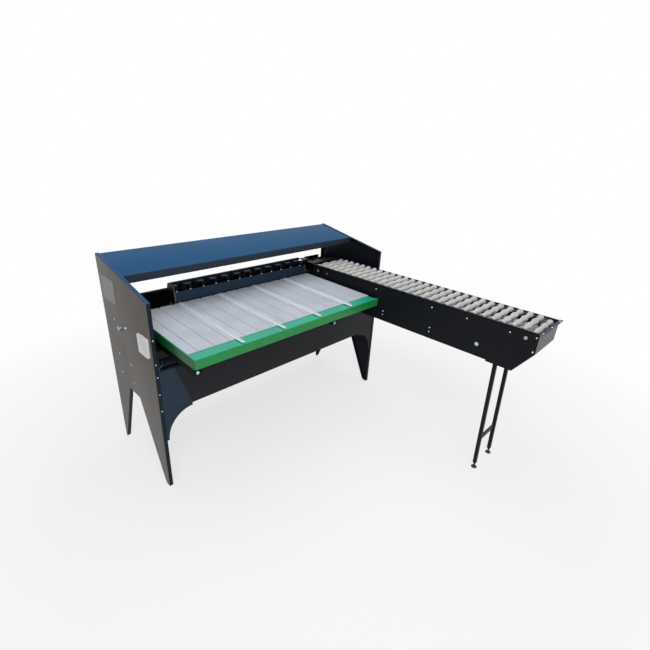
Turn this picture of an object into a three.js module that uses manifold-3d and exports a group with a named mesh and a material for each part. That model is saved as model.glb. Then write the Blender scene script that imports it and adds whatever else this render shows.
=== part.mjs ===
// Egg grading machine: a roller conveyor brings three rows of eggs to a row of tipping scales,
// and each scale lets its egg roll over a front plate onto the lanes of a sloping tray.
// Millimetres, +Z up, +X along the machine, -Y towards the operator.
import * as THREE from "three";
import { mergeVertices } from "three/addons/utils/BufferGeometryUtils.js";
import Module from "manifold-3d";

const wasm = await Module();
wasm.setup();

// Clearances that every piece shares.
const fit = {
  seat: 0.3, // between pieces that touch
  running: 0.3, // around a shaft that turns or slides
  sheet: 2, // steel sheet
  overrun: 2, // how far a cut runs past what it cuts
};

// Egg lanes, which every station, notch and roller spool follows.
const lanes = {
  width: 73.7,
  trayCount: 15,
  scaleFirst: 3, // lanes before the first scale
  scaleCount: 12,
  feedCount: 3, // rows on the conveyor
  groupSize: 3, // lanes in one grade
};

const frame = {
  leftSpace: 73.6, // left panel's outer face to the first lane
  rightSpace: 51.8, // conveyor to the right panel's outer face
  depth: 498,
  backHeight: 1000,
  frontHeight: 905,
  flange: 17,
  footWidth: 30,
  legFrontWidth: 41,
  legBackWidth: 18,
  footBackWidth: 11,
  footChamfer: 12,
  archHeight: 381,
  archFront: 212,
  archBack: 323,
};

const shelf = { foldY: 247, lip: 36, backLip: 40, hem: 10 };
const beam = { bottom: 398, height: 201, hem: 15 };
const gusset = { width: 152, drop: 144, tip: 12, foot: 28 };
const rear = { bottom: 290, top: 775, hem: 15, raise: 20, raiseWidth: 132, raiseFromEnd: 43 };
const plateLabel = { fromBack: 177, rise: 98, width: 150, height: 113, thick: 1 };

const box = {
  y: 20,
  z: 663,
  width: 92,
  height: 87,
  depth: 10,
  corner: 7,
  inset: 13,
  recess: 2,
  buttonBack: 8, // how far the button is behind the box's middle
  buttonDrop: 6,
  buttonRadius: 10,
  buttonLength: 5,
  buttonProud: 0.5,
  travel: 1.5,
};

const tray = {
  frontY: -716,
  frontZ: 732,
  backY: -186,
  drop: 10, // how much lower the front edge is than the back edge
  skirt: 42,
  sideSkirtEnd: -298,
  leftOverhang: 9,
  rightGap: 3,
  cornerCut: 19, // the front skirt runs on past the top's right edge
};
const mat = { thick: 4, frontY: -664, backY: -173, groove: 1.2, grooveWidth: 3, notch: 9, notchDepth: 9 };
const divider = { base: 14, baseThick: 1.5, fin: 2.4, height: 9, frontY: -712, shift: 6 };
const arm = { width: 34, height: 26, frontY: -704, backY: -228, leftX: 64, rightX: 824 };
const trayBar = { y: -474, width: 30, height: 20 };

// Scale rack, where an egg lies across its pan at the height of the conveyor's eggs.
const rack = {
  plateFootY: -156,
  plateTopY: -150,
  plateFootZ: 745,
  plateTopZ: 795,
  plateHem: 10,
  postWidth: 14,
  postHeight: 31,
  endMargin: 11.5, // rack's left end to the middle of its first guide post
  rightMargin: 7.8,
  cheek: 3,
  channelY: -98,
  channelWidth: 46,
  channelTop: 690,
  channelHem: 20,
  footLength: 30,
};
const bracket = {
  neckY: -102, // behind the lift rocker's tube
  neckZ: 735,
  chinY: -138,
  crownDepth: 73,
  crownHeight: 40,
  waistZ: 748,
  hipY: -68,
  hipZ: 741,
  shoulderY: -100,
  shoulderZ: 779,
};
const pivot = { y: -113, z: 765, radius: 4 };
const pan = {
  width: 28,
  frontY: -138,
  backY: -98,
  floorZ: 803,
  thick: 3,
  frontRise: 3,
  backRise: 6,
  lipDepth: 10,
  web: 6,
  bar: 7,
  hub: 9,
  hubWidth: 16,
  postFootZ: 780,
  armKneeY: -100,
  armZ: 722,
  weightY: -48,
  weightLength: 27,
  weightRadius: 13,
};

const lift = {
  railY: -66,
  railZ: 785,
  railRadius: 6,
  railInset: 60,
  blockInset: 34,
  blockLength: 40,
  blockDepth: 24,
  blockTop: 12,
  blockBottom: 41.4,
  postRadius: 6,
  postInset: 48,
  postHeight: 112,
};
const carriage = {
  barY: -96,
  barDepth: 14,
  barTop: 828,
  barHeight: 16,
  prongWidth: 38,
  prongFrontY: -130,
  prongTop: 820,
  prongThick: 4,
  sliderWidth: 24,
  sliderFrontY: -94,
  sliderBackY: -52,
  sliderBottom: 773,
  startGap: 4,
};
const rocker = {
  y: -121,
  z: 720,
  radius: 8,
  armZ: 735,
  armInset: 62,
  armWidth: 8,
  armRadius: 4,
  rollerWidth: 16,
};

const shaft = {
  y: -198,
  z: 703,
  radius: 10,
  proud: 16,
  camRadius: 17,
  camThrow: 7,
  camWidth: 8,
  camInset: 74,
};
const bearing = { boltY: 45.6, boltZ: 14, ear: 11, body: 31, thick: 6, boss: 22, depth: 14 };
const chain = { width: 5, thick: 5, play: 0.5 };
const sprocket = { width: 8, large: 36, small: 24, leftInset: 36, rightInset: 38 };
const motor = {
  y: -180,
  z: 493,
  shaftRadius: 8,
  gearboxLength: 70,
  gearboxWidth: 100,
  gearboxHeight: 96,
  bodyRadius: 48,
  bodyLength: 170,
  fanRadius: 50,
  fanLength: 34,
  neckRadius: 40,
  neck: 8,
};
const motorBracket = {
  frontY: -258,
  backY: -102,
  frontTab: 22,
  backTab: 20,
  plateX: 60,
  bottomZ: 432,
  height: 121,
  hole: 9,
};

const conveyor = {
  play: 4, // wall to the outer rollers
  topZ: 810,
  rearY: -201,
  rearCutY: -228,
  rearCutZ: 735,
  frontY: -1533,
  noseZ: 715,
  cornerY: -1459,
  heelY: -1343,
  heelDrop: 7, // the bottom edge is lower where the leg is hinged
  lip: 6,
};
const endPlate = { topReach: 15, corner: 12 };
const belt = {
  rearY: -245.2,
  axisZ: 774,
  wrap: 26,
  rollerCount: 58,
  spacing: 45.5,
  endRadius: 15,
  waistRadius: 10,
  band: 8,
  bandWidth: 3.5,
  bandInset: 1.1,
  shaftRadius: 8,
  discRadius: 21,
  discWidth: 2.6,
  shaftProud: 2,
};
const brace = { rearY: -753.5, frontY: -1042, height: 40, rise: 25, hem: 14 };
const saddle = { rearY: 240, tube: 12, reach: 23, height: 13.4 };
const cradle = {
  rampFrontY: -198.5,
  rampBackY: -141,
  rampDrop: 3,
  legWidth: 14,
  legFootY: -75,
  legKneeY: -88,
  legZ: 735,
  footFrontY: -94,
  footBackY: -56,
  footThick: 4,
};

const leg = {
  tube: 17,
  wall: 1.5,
  pivotY: -1378.5,
  pivotRise: 3, // from the walls' bottom edge
  pivotRadius: 5,
  topRise: 4,
  leanOut: 21.5,
  inset: 32,
  braceZ: 162,
  braceHeight: 30,
  braceThick: 5,
  endZ: 30,
};
const foot = { radius: 14, thick: 5, rod: 5, rodFoot: 3, rodTop: 52, boreTop: 76 };

// Straight sides that stand for a circle.
const sides = { shaft: 16, tube: 12, roller: 6, hiddenRoller: 5, round: 24, arc: 6 };

// Places along the machine, all worked out from the lanes.
const laneX = (k) => frame.leftSpace + lanes.width * (k + 0.5);
const midLaneX = (k) => frame.leftSpace + lanes.width * k;
const scaleEnd = lanes.scaleFirst + lanes.scaleCount;
const feedEnd = lanes.trayCount + lanes.feedCount;
const wallInnerLeft = midLaneX(lanes.trayCount) - conveyor.play;
const wallInnerRight = midLaneX(feedEnd) + conveyor.play;
const wallOuterLeft = wallInnerLeft - fit.sheet;
const wallOuterRight = wallInnerRight + fit.sheet;
const length = wallOuterRight + frame.rightSpace;
const innerLeft = fit.sheet + fit.seat;
const innerRight = length - innerLeft;
const rackLeft = midLaneX(lanes.scaleFirst) - rack.endMargin;
const rackRight = laneX(scaleEnd - 1) + rack.rightMargin;
const trayLeft = frame.leftSpace - tray.leftOverhang;
const trayRight = wallOuterLeft - tray.rightGap;
const trayTopRight = trayRight - tray.cornerCut;
const trayTurn = Math.atan2(tray.drop, tray.backY - tray.frontY);
const trayZ = (y) => tray.frontZ + Math.tan(trayTurn) * (y - tray.frontY);
const slopeZ = (y) =>
  frame.frontHeight + ((frame.backHeight - frame.frontHeight) * y) / frame.depth;
const beltRun = (belt.rollerCount * belt.spacing - 2 * Math.PI * belt.wrap) / 2;
const beltFrontY = belt.rearY - beltRun;
const conveyorBottom = beam.bottom + beam.height + saddle.height + 2 * fit.seat;
const heelZ = conveyorBottom - conveyor.heelDrop;
const legPivotZ = conveyorBottom + leg.pivotRise;
const chainInset = sprocket.leftInset + (sprocket.width - chain.width) / 2;
const feedSprocketX = length - sprocket.rightInset;
const feedChainX = feedSprocketX + (sprocket.width - chain.width) / 2;

// Solids

function toSolid(geometry) {
  const plain = geometry.clone();
  plain.deleteAttribute("normal");
  plain.deleteAttribute("uv");
  const merged = mergeVertices(plain);
  return new wasm.Manifold(
    new wasm.Mesh({
      numProp: 3,
      vertProperties: merged.attributes.position.array,
      triVerts: new Uint32Array(merged.index.array),
    }),
  );
}

function toGeometry(solid) {
  const mesh = solid.getMesh();
  const geometry = new THREE.BufferGeometry();
  geometry.setAttribute("position", new THREE.BufferAttribute(mesh.vertProperties, 3));
  geometry.setIndex(new THREE.BufferAttribute(mesh.triVerts, 1));
  const flat = geometry.toNonIndexed();
  flat.computeVertexNormals();
  return flat;
}

const join = (...solids) => solids.reduce((all, one) => all.add(one));
const cut = (solid, ...tools) => tools.reduce((left, tool) => left.subtract(tool), solid);

function block(x0, x1, y0, y1, z0, z1) {
  const geometry = new THREE.BoxGeometry(x1 - x0, y1 - y0, z1 - z0);
  geometry.translate((x0 + x1) / 2, (y0 + y1) / 2, (z0 + z1) / 2);
  return toSolid(geometry);
}

// An outline of [a, b] points pushed out along X, where a is Y and b is Z.
function pushX(outline, x0, x1) {
  const shape = outline instanceof THREE.Shape ? outline : outlineShape(outline);
  const geometry = new THREE.ExtrudeGeometry(shape, {
    depth: x1 - x0,
    bevelEnabled: false,
    curveSegments: sides.arc,
  });
  const yzx = new THREE.Matrix4().makeBasis(
    new THREE.Vector3(0, 1, 0),
    new THREE.Vector3(0, 0, 1),
    new THREE.Vector3(1, 0, 0),
  );
  geometry.applyMatrix4(yzx);
  geometry.translate(x0, 0, 0);
  return toSolid(geometry);
}

// The same along Y, where a is X and b is Z.
function pushY(outline, y0, y1) {
  const shape = outline instanceof THREE.Shape ? outline : outlineShape(outline);
  const geometry = new THREE.ExtrudeGeometry(shape, {
    depth: y1 - y0,
    bevelEnabled: false,
    curveSegments: sides.arc,
  });
  geometry.rotateX(Math.PI / 2);
  geometry.translate(0, y1, 0);
  return toSolid(geometry);
}

// The same along Z, where a is X and b is Y.
function pushZ(outline, z0, z1) {
  const shape = outline instanceof THREE.Shape ? outline : outlineShape(outline);
  const geometry = new THREE.ExtrudeGeometry(shape, {
    depth: z1 - z0,
    bevelEnabled: false,
    curveSegments: sides.arc,
  });
  geometry.translate(0, 0, z0);
  return toSolid(geometry);
}

function outlineShape(points) {
  const corners = points.map(([a, b]) => new THREE.Vector2(a, b));
  if (THREE.ShapeUtils.isClockWise(corners)) corners.reverse();
  return new THREE.Shape(corners);
}

function rodX(y, z, radius, x0, x1, count = sides.shaft) {
  const geometry = new THREE.CylinderGeometry(radius, radius, x1 - x0, count);
  geometry.rotateZ(-Math.PI / 2);
  geometry.translate((x0 + x1) / 2, y, z);
  return toSolid(geometry);
}

function rodY(x, z, radius, y0, y1, count = sides.shaft) {
  const geometry = new THREE.CylinderGeometry(radius, radius, y1 - y0, count);
  geometry.translate(x, (y0 + y1) / 2, z);
  return toSolid(geometry);
}

function rodZ(x, y, radius, z0, z1, count = sides.shaft) {
  const geometry = new THREE.CylinderGeometry(radius, radius, z1 - z0, count);
  geometry.rotateX(Math.PI / 2);
  geometry.translate(x, y, (z0 + z1) / 2);
  return toSolid(geometry);
}

// Where two lines meet, each given by a point and a direction.
function meet(p, d, q, e) {
  const across = d.x * e.y - d.y * e.x;
  if (Math.abs(across) < 1e-9) return q.clone();
  const t = ((q.x - p.x) * e.y - (q.y - p.y) * e.x) / across;
  return new THREE.Vector2(p.x + d.x * t, p.y + d.y * t);
}

// Points of a line moved to its left by a distance, with mitred corners.
function offsetLine(points, distance, closed) {
  const p = points.map(([a, b]) => new THREE.Vector2(a, b));
  const count = p.length;
  const last = closed ? count : count - 1;
  const edges = [];
  for (let i = 0; i < last; i++) {
    const along = p[(i + 1) % count].clone().sub(p[i]).normalize();
    const left = new THREE.Vector2(-along.y, along.x).multiplyScalar(distance);
    edges.push({ along, start: p[i].clone().add(left), end: p[(i + 1) % count].clone().add(left) });
  }
  return p.map((unused, i) => {
    if (!closed && i === 0) return edges[0].start.toArray();
    if (!closed && i === count - 1) return edges[last - 1].end.toArray();
    const before = edges[(i + last - 1) % last];
    const after = edges[i % last];
    return meet(before.start, before.along, after.start, after.along).toArray();
  });
}

// A bent sheet's outline: the line itself, and the line one thickness to its left.
function bentSheet(points, thick = fit.sheet) {
  return [...points, ...offsetLine(points, thick, false).reverse()];
}

// Two round ends of one radius with a straight bar between them.
function capsuleX(y0, z0, y1, z1, radius, x0, x1) {
  const along = new THREE.Vector2(y1 - y0, z1 - z0).normalize();
  const side = new THREE.Vector2(-along.y, along.x).multiplyScalar(radius);
  const bar = [
    [y0 + side.x, z0 + side.y],
    [y0 - side.x, z0 - side.y],
    [y1 - side.x, z1 - side.y],
    [y1 + side.x, z1 + side.y],
  ];
  return join(
    pushX(bar, x0, x1),
    rodX(y0, z0, radius, x0, x1, sides.tube),
    rodX(y1, z1, radius, x0, x1, sides.tube),
  );
}

// The loop that a chain makes round two wheels, as an outline in Y and Z.
function loopShape(y0, z0, r0, y1, z1, r1) {
  const between = Math.atan2(z1 - z0, y1 - y0);
  const lean = Math.acos((r0 - r1) / Math.hypot(y1 - y0, z1 - z0));
  const shape = new THREE.Shape();
  shape.absarc(y0, z0, r0, between + lean, between - lean + 2 * Math.PI, false);
  shape.absarc(y1, z1, r1, between - lean, between + lean, false);
  shape.closePath();
  return shape;
}

function chainLoop(y0, z0, r0, y1, z1, r1, thick, x0, x1) {
  return cut(
    pushX(loopShape(y0, z0, r0 + thick, y1, z1, r1 + thick), x0, x1),
    pushX(loopShape(y0, z0, r0, y1, z1, r1), x0 - fit.overrun, x1 + fit.overrun),
  );
}

// Materials

const finish = (color, roughness, metalness) =>
  new THREE.MeshStandardMaterial({ color, roughness, metalness });
const finishes = {
  greyPaint: () => finish(0x66625c, 0.45, 0.2),
  navyPaint: () => finish(0x1d2634, 0.35, 0.25),
  blackPaint: () => finish(0x1c1d20, 0.4, 0.2),
  green: () => finish(0x2d9a55, 0.4, 0),
  mat: () => finish(0xb7bfc9, 0.7, 0),
  clear: () => finish(0xdde6ea, 0.2, 0),
  white: () => finish(0xf2f2f0, 0.4, 0),
  steel: () => finish(0xb8bcc0, 0.3, 0.9),
  black: () => finish(0x141416, 0.5, 0),
  label: () => finish(0x9a9a98, 0.4, 0.5),
  roller: () => finish(0xc4c4c2, 0.6, 0),
};

// The works are placed from the housing's back edge.
const machine = new THREE.Group();
const housing = new THREE.Group();
const works = new THREE.Group();
works.position.y = frame.depth;
machine.add(housing, works);

function addPiece(name, solid, material, parent = works) {
  const mesh = new THREE.Mesh(toGeometry(solid), material());
  mesh.name = name;
  parent.add(mesh);
  return mesh;
}

// Side panels: bent sheet with flanges turned inwards round the whole edge

function panelOutline() {
  return [
    [0, 0],
    [frame.footWidth, 0],
    [frame.legFrontWidth, frame.footChamfer],
    [frame.archFront, frame.archHeight],
    [frame.archBack, frame.archHeight],
    [frame.depth - frame.legBackWidth, frame.footChamfer],
    [frame.depth - frame.footBackWidth, 0],
    [frame.depth, 0],
    [frame.depth, frame.backHeight],
    [0, frame.frontHeight],
  ];
}

function sidePanel(outerX, inwards) {
  const outline = panelOutline();
  const inner = offsetLine(outline, fit.sheet, true);
  const span = (from, to) => (inwards > 0 ? [outerX + from, outerX + to] : [outerX - to, outerX - from]);
  const shell = pushX(outline, ...span(0, frame.flange));
  const hollow = pushX(inner, ...span(fit.sheet, frame.flange + fit.overrun));
  const holeY = frame.depth + shaft.y;
  const holeRadius = shaft.radius + fit.sheet;
  const hole = rodX(holeY, shaft.z, holeRadius, outerX - frame.flange, outerX + frame.flange);
  return cut(shell, hollow, hole);
}

addPiece("left_side_panel", sidePanel(0, 1), finishes.greyPaint, housing);
addPiece("right_side_panel", sidePanel(length, -1), finishes.navyPaint, housing);

function topShelf() {
  const drop = fit.sheet + fit.seat;
  const backY = frame.depth - drop;
  const line = [
    [backY, slopeZ(backY) - drop - shelf.backLip],
    [backY, slopeZ(backY) - drop],
    [shelf.foldY, slopeZ(shelf.foldY) - drop],
    [shelf.foldY, slopeZ(shelf.foldY) - drop - shelf.lip],
    [shelf.foldY + shelf.hem, slopeZ(shelf.foldY) - drop - shelf.lip],
  ];
  return pushX(bentSheet(line), innerLeft, innerRight);
}

function rearPanel() {
  const outerY = frame.depth - fit.sheet - fit.seat;
  const line = [
    [outerY - rear.hem, rear.bottom],
    [outerY, rear.bottom],
    [outerY, rear.top],
    [outerY - rear.hem, rear.top],
  ];
  const raiseRight = length - rear.raiseFromEnd;
  const raised = block(
    raiseRight - rear.raiseWidth,
    raiseRight,
    outerY - fit.sheet,
    outerY,
    rear.top - rear.hem,
    rear.top + rear.raise,
  );
  return join(pushX(bentSheet(line), innerLeft, innerRight), raised);
}

function frontBeam() {
  const outerY = fit.sheet + fit.seat;
  const top = beam.bottom + beam.height;
  const line = [
    [outerY + beam.hem, top],
    [outerY, top],
    [outerY, beam.bottom],
    [outerY + beam.hem, beam.bottom],
  ];
  return pushX(bentSheet(line), innerLeft, innerRight);
}

// A corner plate whose free edge is a quarter of an ellipse.
function gussetPlate(mirrored) {
  const top = beam.bottom - fit.seat;
  const turn = mirrored ? -1 : 1;
  const edgeX = mirrored ? length : 0;
  const place = (x, z) => [edgeX + turn * x, z];
  const across = gusset.width - gusset.foot;
  const down = gusset.drop - gusset.tip;
  const curve = [];
  for (let i = 0; i <= sides.tube; i++) {
    const angle = (Math.PI / 2) * (1 - i / sides.tube);
    curve.push(
      place(gusset.width - across * Math.cos(angle), top - gusset.drop + down * Math.sin(angle)),
    );
  }
  const outline = [place(innerLeft, top), place(gusset.width, top), ...curve, place(innerLeft, top - gusset.drop)];
  const outerY = fit.sheet + fit.seat;
  return pushY(outline, outerY, outerY + fit.sheet);
}

addPiece("top_shelf", topShelf(), finishes.navyPaint, housing);
addPiece("rear_panel", rearPanel(), finishes.blackPaint, housing);
addPiece("front_beam", frontBeam(), finishes.blackPaint, housing);
addPiece("front_left_gusset", gussetPlate(false), finishes.navyPaint, housing);
addPiece("front_right_gusset", gussetPlate(true), finishes.blackPaint, housing);

// On the left panel's outer face

const labelY = frame.depth - plateLabel.fromBack;
const labelZ = shaft.z + plateLabel.rise;
const label = block(
  -fit.seat - plateLabel.thick,
  -fit.seat,
  labelY,
  labelY + plateLabel.width,
  labelZ,
  labelZ + plateLabel.height,
);
addPiece("nameplate", label, finishes.label, housing);

function roundedShape(y, z, width, height, corner) {
  const shape = new THREE.Shape();
  const quarter = Math.PI / 2;
  shape.absarc(y + width - corner, z + corner, corner, -quarter, 0, false);
  shape.absarc(y + width - corner, z + height - corner, corner, 0, quarter, false);
  shape.absarc(y + corner, z + height - corner, corner, quarter, 2 * quarter, false);
  shape.absarc(y + corner, z + corner, corner, 2 * quarter, 3 * quarter, false);
  shape.closePath();
  return shape;
}

const buttonY = box.y + box.width / 2 + box.buttonBack;
const buttonZ = box.z + box.height / 2 - box.buttonDrop;
const boxFaceX = -fit.seat - box.depth;
const recessX = boxFaceX + box.recess;
const buttonX = boxFaceX - box.buttonProud;

function switchBox() {
  const body = pushX(roundedShape(box.y, box.z, box.width, box.height, box.corner), boxFaceX, -fit.seat);
  const well = pushX(
    roundedShape(
      box.y + box.inset,
      box.z + box.inset,
      box.width - 2 * box.inset,
      box.height - 2 * box.inset,
      box.corner / 2,
    ),
    boxFaceX - fit.overrun,
    recessX,
  );
  const bore = rodX(
    buttonY,
    buttonZ,
    box.buttonRadius + fit.running,
    recessX - fit.overrun,
    buttonX + box.buttonLength + box.travel + fit.seat,
    sides.round,
  );
  return cut(body, well, bore);
}

addPiece("switch_box", switchBox(), finishes.white, housing);
addPiece(
  "power_button",
  rodX(buttonY, buttonZ, box.buttonRadius, buttonX, buttonX + box.buttonLength, sides.round),
  finishes.white,
  housing,
);

// Sorting tray with its mat and dividers, on a slope down to the front

const trayGroup = new THREE.Group();
trayGroup.position.set(0, tray.frontY, tray.frontZ);
trayGroup.rotation.x = trayTurn;
works.add(trayGroup);
const trayDepth = (tray.backY - tray.frontY) / Math.cos(trayTurn);
const onTray = (y) => (y - tray.frontY) / Math.cos(trayTurn);

// The top's right front corner is a hollow curve that ends on the front skirt.
function trayCorner() {
  const radius = tray.cornerCut;
  const inside = trayTopRight - fit.sheet;
  const shape = new THREE.Shape();
  shape.moveTo(inside, 0);
  shape.lineTo(trayRight, 0);
  shape.lineTo(trayRight, fit.sheet);
  shape.absarc(trayRight, fit.sheet + radius, radius, -Math.PI / 2, -Math.PI, true);
  shape.lineTo(inside, fit.sheet + radius);
  shape.closePath();
  return pushZ(shape, -fit.sheet, 0);
}

function sortingTray() {
  const shell = block(trayLeft, trayTopRight, 0, trayDepth, -tray.skirt, 0);
  const under = block(
    trayLeft + fit.sheet,
    trayTopRight - fit.sheet,
    fit.sheet,
    trayDepth + fit.overrun,
    -tray.skirt - fit.overrun,
    -fit.sheet,
  );
  const sideCut = block(
    trayLeft - fit.overrun,
    trayTopRight + fit.overrun,
    onTray(tray.sideSkirtEnd),
    trayDepth + fit.overrun,
    -tray.skirt - fit.overrun,
    -fit.sheet,
  );
  const frontEnd = block(trayTopRight - fit.sheet, trayRight, 0, fit.sheet, -tray.skirt, 0);
  return join(cut(shell, under, sideCut), frontEnd, trayCorner());
}

// The mat's section has a fine groove along the middle of each lane.
function matOutline() {
  const top = fit.seat + mat.thick;
  const outline = [
    [trayLeft + fit.sheet, fit.seat],
    [trayTopRight - fit.sheet, fit.seat],
    [trayTopRight - fit.sheet, top],
  ];
  for (let k = lanes.trayCount - 1; k >= 0; k--) {
    outline.push([laneX(k) + mat.grooveWidth / 2, top]);
    outline.push([laneX(k), top - mat.groove]);
    outline.push([laneX(k) - mat.grooveWidth / 2, top]);
  }
  outline.push([trayLeft + fit.sheet, top]);
  return outline;
}

function laneNotch(k) {
  const backY = onTray(mat.backY);
  const outline = [
    [laneX(k) - mat.notch, backY + fit.overrun],
    [laneX(k), backY - mat.notchDepth],
    [laneX(k) + mat.notch, backY + fit.overrun],
  ];
  return pushZ(outline, 0, fit.seat + mat.thick + fit.overrun);
}

function laneMat() {
  let solid = pushY(matOutline(), onTray(mat.frontY), onTray(mat.backY));
  for (let k = 0; k < lanes.trayCount; k++) solid = cut(solid, laneNotch(k));
  return solid;
}

// A clear strip: a fin on a flat base, laid on the mat between two grades.
function dividerStrip() {
  const half = divider.base / 2;
  const outline = [
    [-half, 0],
    [half, 0],
    [half, divider.baseThick],
    [divider.fin / 2, divider.baseThick],
    [divider.fin / 2, divider.height],
    [-divider.fin / 2, divider.height],
    [-divider.fin / 2, divider.baseThick],
    [-half, divider.baseThick],
  ];
  return pushY(outline, onTray(divider.frontY), onTray(mat.backY) - mat.notchDepth);
}

function supportArm(x) {
  const top = -tray.skirt - fit.seat;
  return block(x, x + arm.width, onTray(arm.frontY), onTray(arm.backY), top - arm.height, top);
}

addPiece("sorting_tray", sortingTray(), finishes.green, trayGroup);
addPiece("sorting_mat", laneMat(), finishes.mat, trayGroup);
for (let k = 1; k < lanes.trayCount / lanes.groupSize; k++) {
  const strip = addPiece("lane_divider_" + k, dividerStrip(), finishes.clear, trayGroup);
  strip.position.set(midLaneX(k * lanes.groupSize) - divider.shift, 0, fit.seat + mat.thick + fit.seat);
}
addPiece("tray_arm_left", supportArm(arm.leftX), finishes.black, trayGroup);
addPiece("tray_arm_right", supportArm(arm.rightX), finishes.black, trayGroup);


function trayCrossMember() {
  const below = (tray.skirt + fit.seat + arm.height) / Math.cos(trayTurn);
  const top = trayZ(trayBar.y) - below - fit.seat;
  const backY = trayBar.y + trayBar.width;
  return block(innerLeft, wallOuterLeft - fit.seat, trayBar.y, backY, top - trayBar.height, top);
}

addPiece("tray_cross_member", trayCrossMember(), finishes.blackPaint);

// Scale rack

function scaleBaseChannel() {
  const backY = rack.channelY + rack.channelWidth;
  const bottom = rack.channelTop - rack.channelHem;
  const line = [
    [backY, bottom],
    [backY, rack.channelTop],
    [rack.channelY, rack.channelTop],
    [rack.channelY, bottom],
  ];
  const postFoot = rack.channelTop - fit.sheet / 2;
  const postTop = rack.channelTop + lift.postHeight;
  const posts = [lift.postInset, length - lift.postInset].map((x) =>
    rodZ(x, lift.railY, lift.postRadius, postFoot, postTop),
  );
  return join(pushX(bentSheet(line), innerLeft, innerRight), ...posts);
}

function guidePost(x) {
  const half = rack.postWidth / 2;
  const shape = new THREE.Shape();
  const top = rack.plateTopZ + rack.postHeight - half;
  shape.moveTo(x - half, rack.plateTopZ - rack.plateHem);
  shape.lineTo(x + half, rack.plateTopZ - rack.plateHem);
  shape.absarc(x, top, half, 0, Math.PI, false);
  shape.closePath();
  return pushY(shape, rack.plateTopY, rack.plateTopY + fit.sheet);
}

// The front plate has a rounded guide post between each two stations.
function scaleFrontPlate() {
  const line = [
    [rack.plateTopY, rack.plateTopZ],
    [rack.plateFootY, rack.plateFootZ],
    [rack.plateFootY + rack.plateHem, rack.plateFootZ],
  ];
  let solid = pushX(bentSheet(line), rackLeft, rackRight);
  for (let k = lanes.scaleFirst; k < scaleEnd - 1; k++) solid = join(solid, guidePost(midLaneX(k)));
  return solid;
}

const pivotHole = (x0, x1) =>
  rodX(pivot.y, pivot.z, pivot.radius + fit.running, x0 - fit.overrun, x1 + fit.overrun, sides.tube);

// Both end brackets stand on the base channel; the shaft that the scales tip on runs between them.
function endBracket(x0, outline, footSide) {
  const x1 = x0 + rack.cheek;
  const footX = footSide < 0 ? x0 - rack.footLength : x1;
  const footZ = rack.channelTop + fit.seat;
  const footEnd = rack.channelY + rack.channelWidth - rack.cheek;
  const tab = block(
    footX - fit.seat,
    footX + rack.footLength + fit.seat,
    rack.channelY + rack.cheek,
    footEnd,
    footZ,
    footZ + rack.cheek,
  );
  return cut(join(pushX(outline, x0, x1), tab), pivotHole(x0, x1));
}

const footCorners = [
  [rack.channelY + rack.channelWidth - rack.cheek, rack.channelTop + fit.seat],
  [rack.channelY, rack.channelTop + fit.seat],
  [bracket.neckY, bracket.neckZ],
  [bracket.chinY, rack.plateFootZ],
  [rack.plateFootY, rack.plateFootZ],
  [rack.plateTopY, rack.plateTopZ],
];
// The left bracket arches over the row of eggs, and its crown's points are shares of its size.
const crownShares = [
  [0, 0.28],
  [0.1, 0.81],
  [0.33, 0.93],
  [0.56, 1],
  [0.86, 0.82],
  [0.97, 0.38],
];
const leftBracketOutline = [
  ...footCorners,
  ...crownShares.map(([across, up]) => [
    rack.plateTopY + across * bracket.crownDepth,
    rack.plateTopZ + up * bracket.crownHeight,
  ]),
  [rack.plateTopY + bracket.crownDepth, bracket.waistZ],
  [bracket.hipY, bracket.hipZ],
];
// The right one stays below the prongs, the bar and the sliders that pass over it.
const rightBracketOutline = [
  ...footCorners,
  [rack.plateTopY + 2 * fit.sheet, rack.plateTopZ],
  [rack.plateTopY + 2 * fit.sheet, bracket.shoulderZ],
  [bracket.shoulderY, bracket.shoulderZ],
  [rack.channelY, bracket.hipZ],
  [bracket.hipY, bracket.hipZ - rack.cheek],
];

function pivotShaft() {
  const past = fit.seat + 2 * rack.cheek;
  return rodX(pivot.y, pivot.z, pivot.radius, rackLeft - past, rackRight + past, sides.tube);
}

addPiece("scale_base_channel", scaleBaseChannel(), finishes.blackPaint);
addPiece("scale_front_plate", scaleFrontPlate(), finishes.navyPaint);
const leftCheekX = rackLeft - fit.seat - rack.cheek;
addPiece("scale_end_bracket_left", endBracket(leftCheekX, leftBracketOutline, -1), finishes.navyPaint);
const rightCheekX = rackRight + fit.seat;
addPiece("scale_end_bracket_right", endBracket(rightCheekX, rightBracketOutline, 1), finishes.navyPaint);
addPiece("scale_pivot_shaft", pivotShaft(), finishes.black);

// Egg pans: one for each scale, and the same form at the end of the conveyor's ramp

function panSection(frontY) {
  const line = [
    [pan.backY, pan.floorZ + pan.backRise],
    [pan.backY - pan.lipDepth, pan.floorZ],
    [pan.frontY + pan.lipDepth, pan.floorZ],
    [frontY, pan.floorZ + pan.frontRise],
  ];
  return bentSheet(line, pan.thick);
}

// A flat bar of one thickness that follows a bent line.
const ribbon = (line, thick) => [
  ...offsetLine(line, thick / 2, false),
  ...offsetLine(line, -thick / 2, false).reverse(),
];

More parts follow.
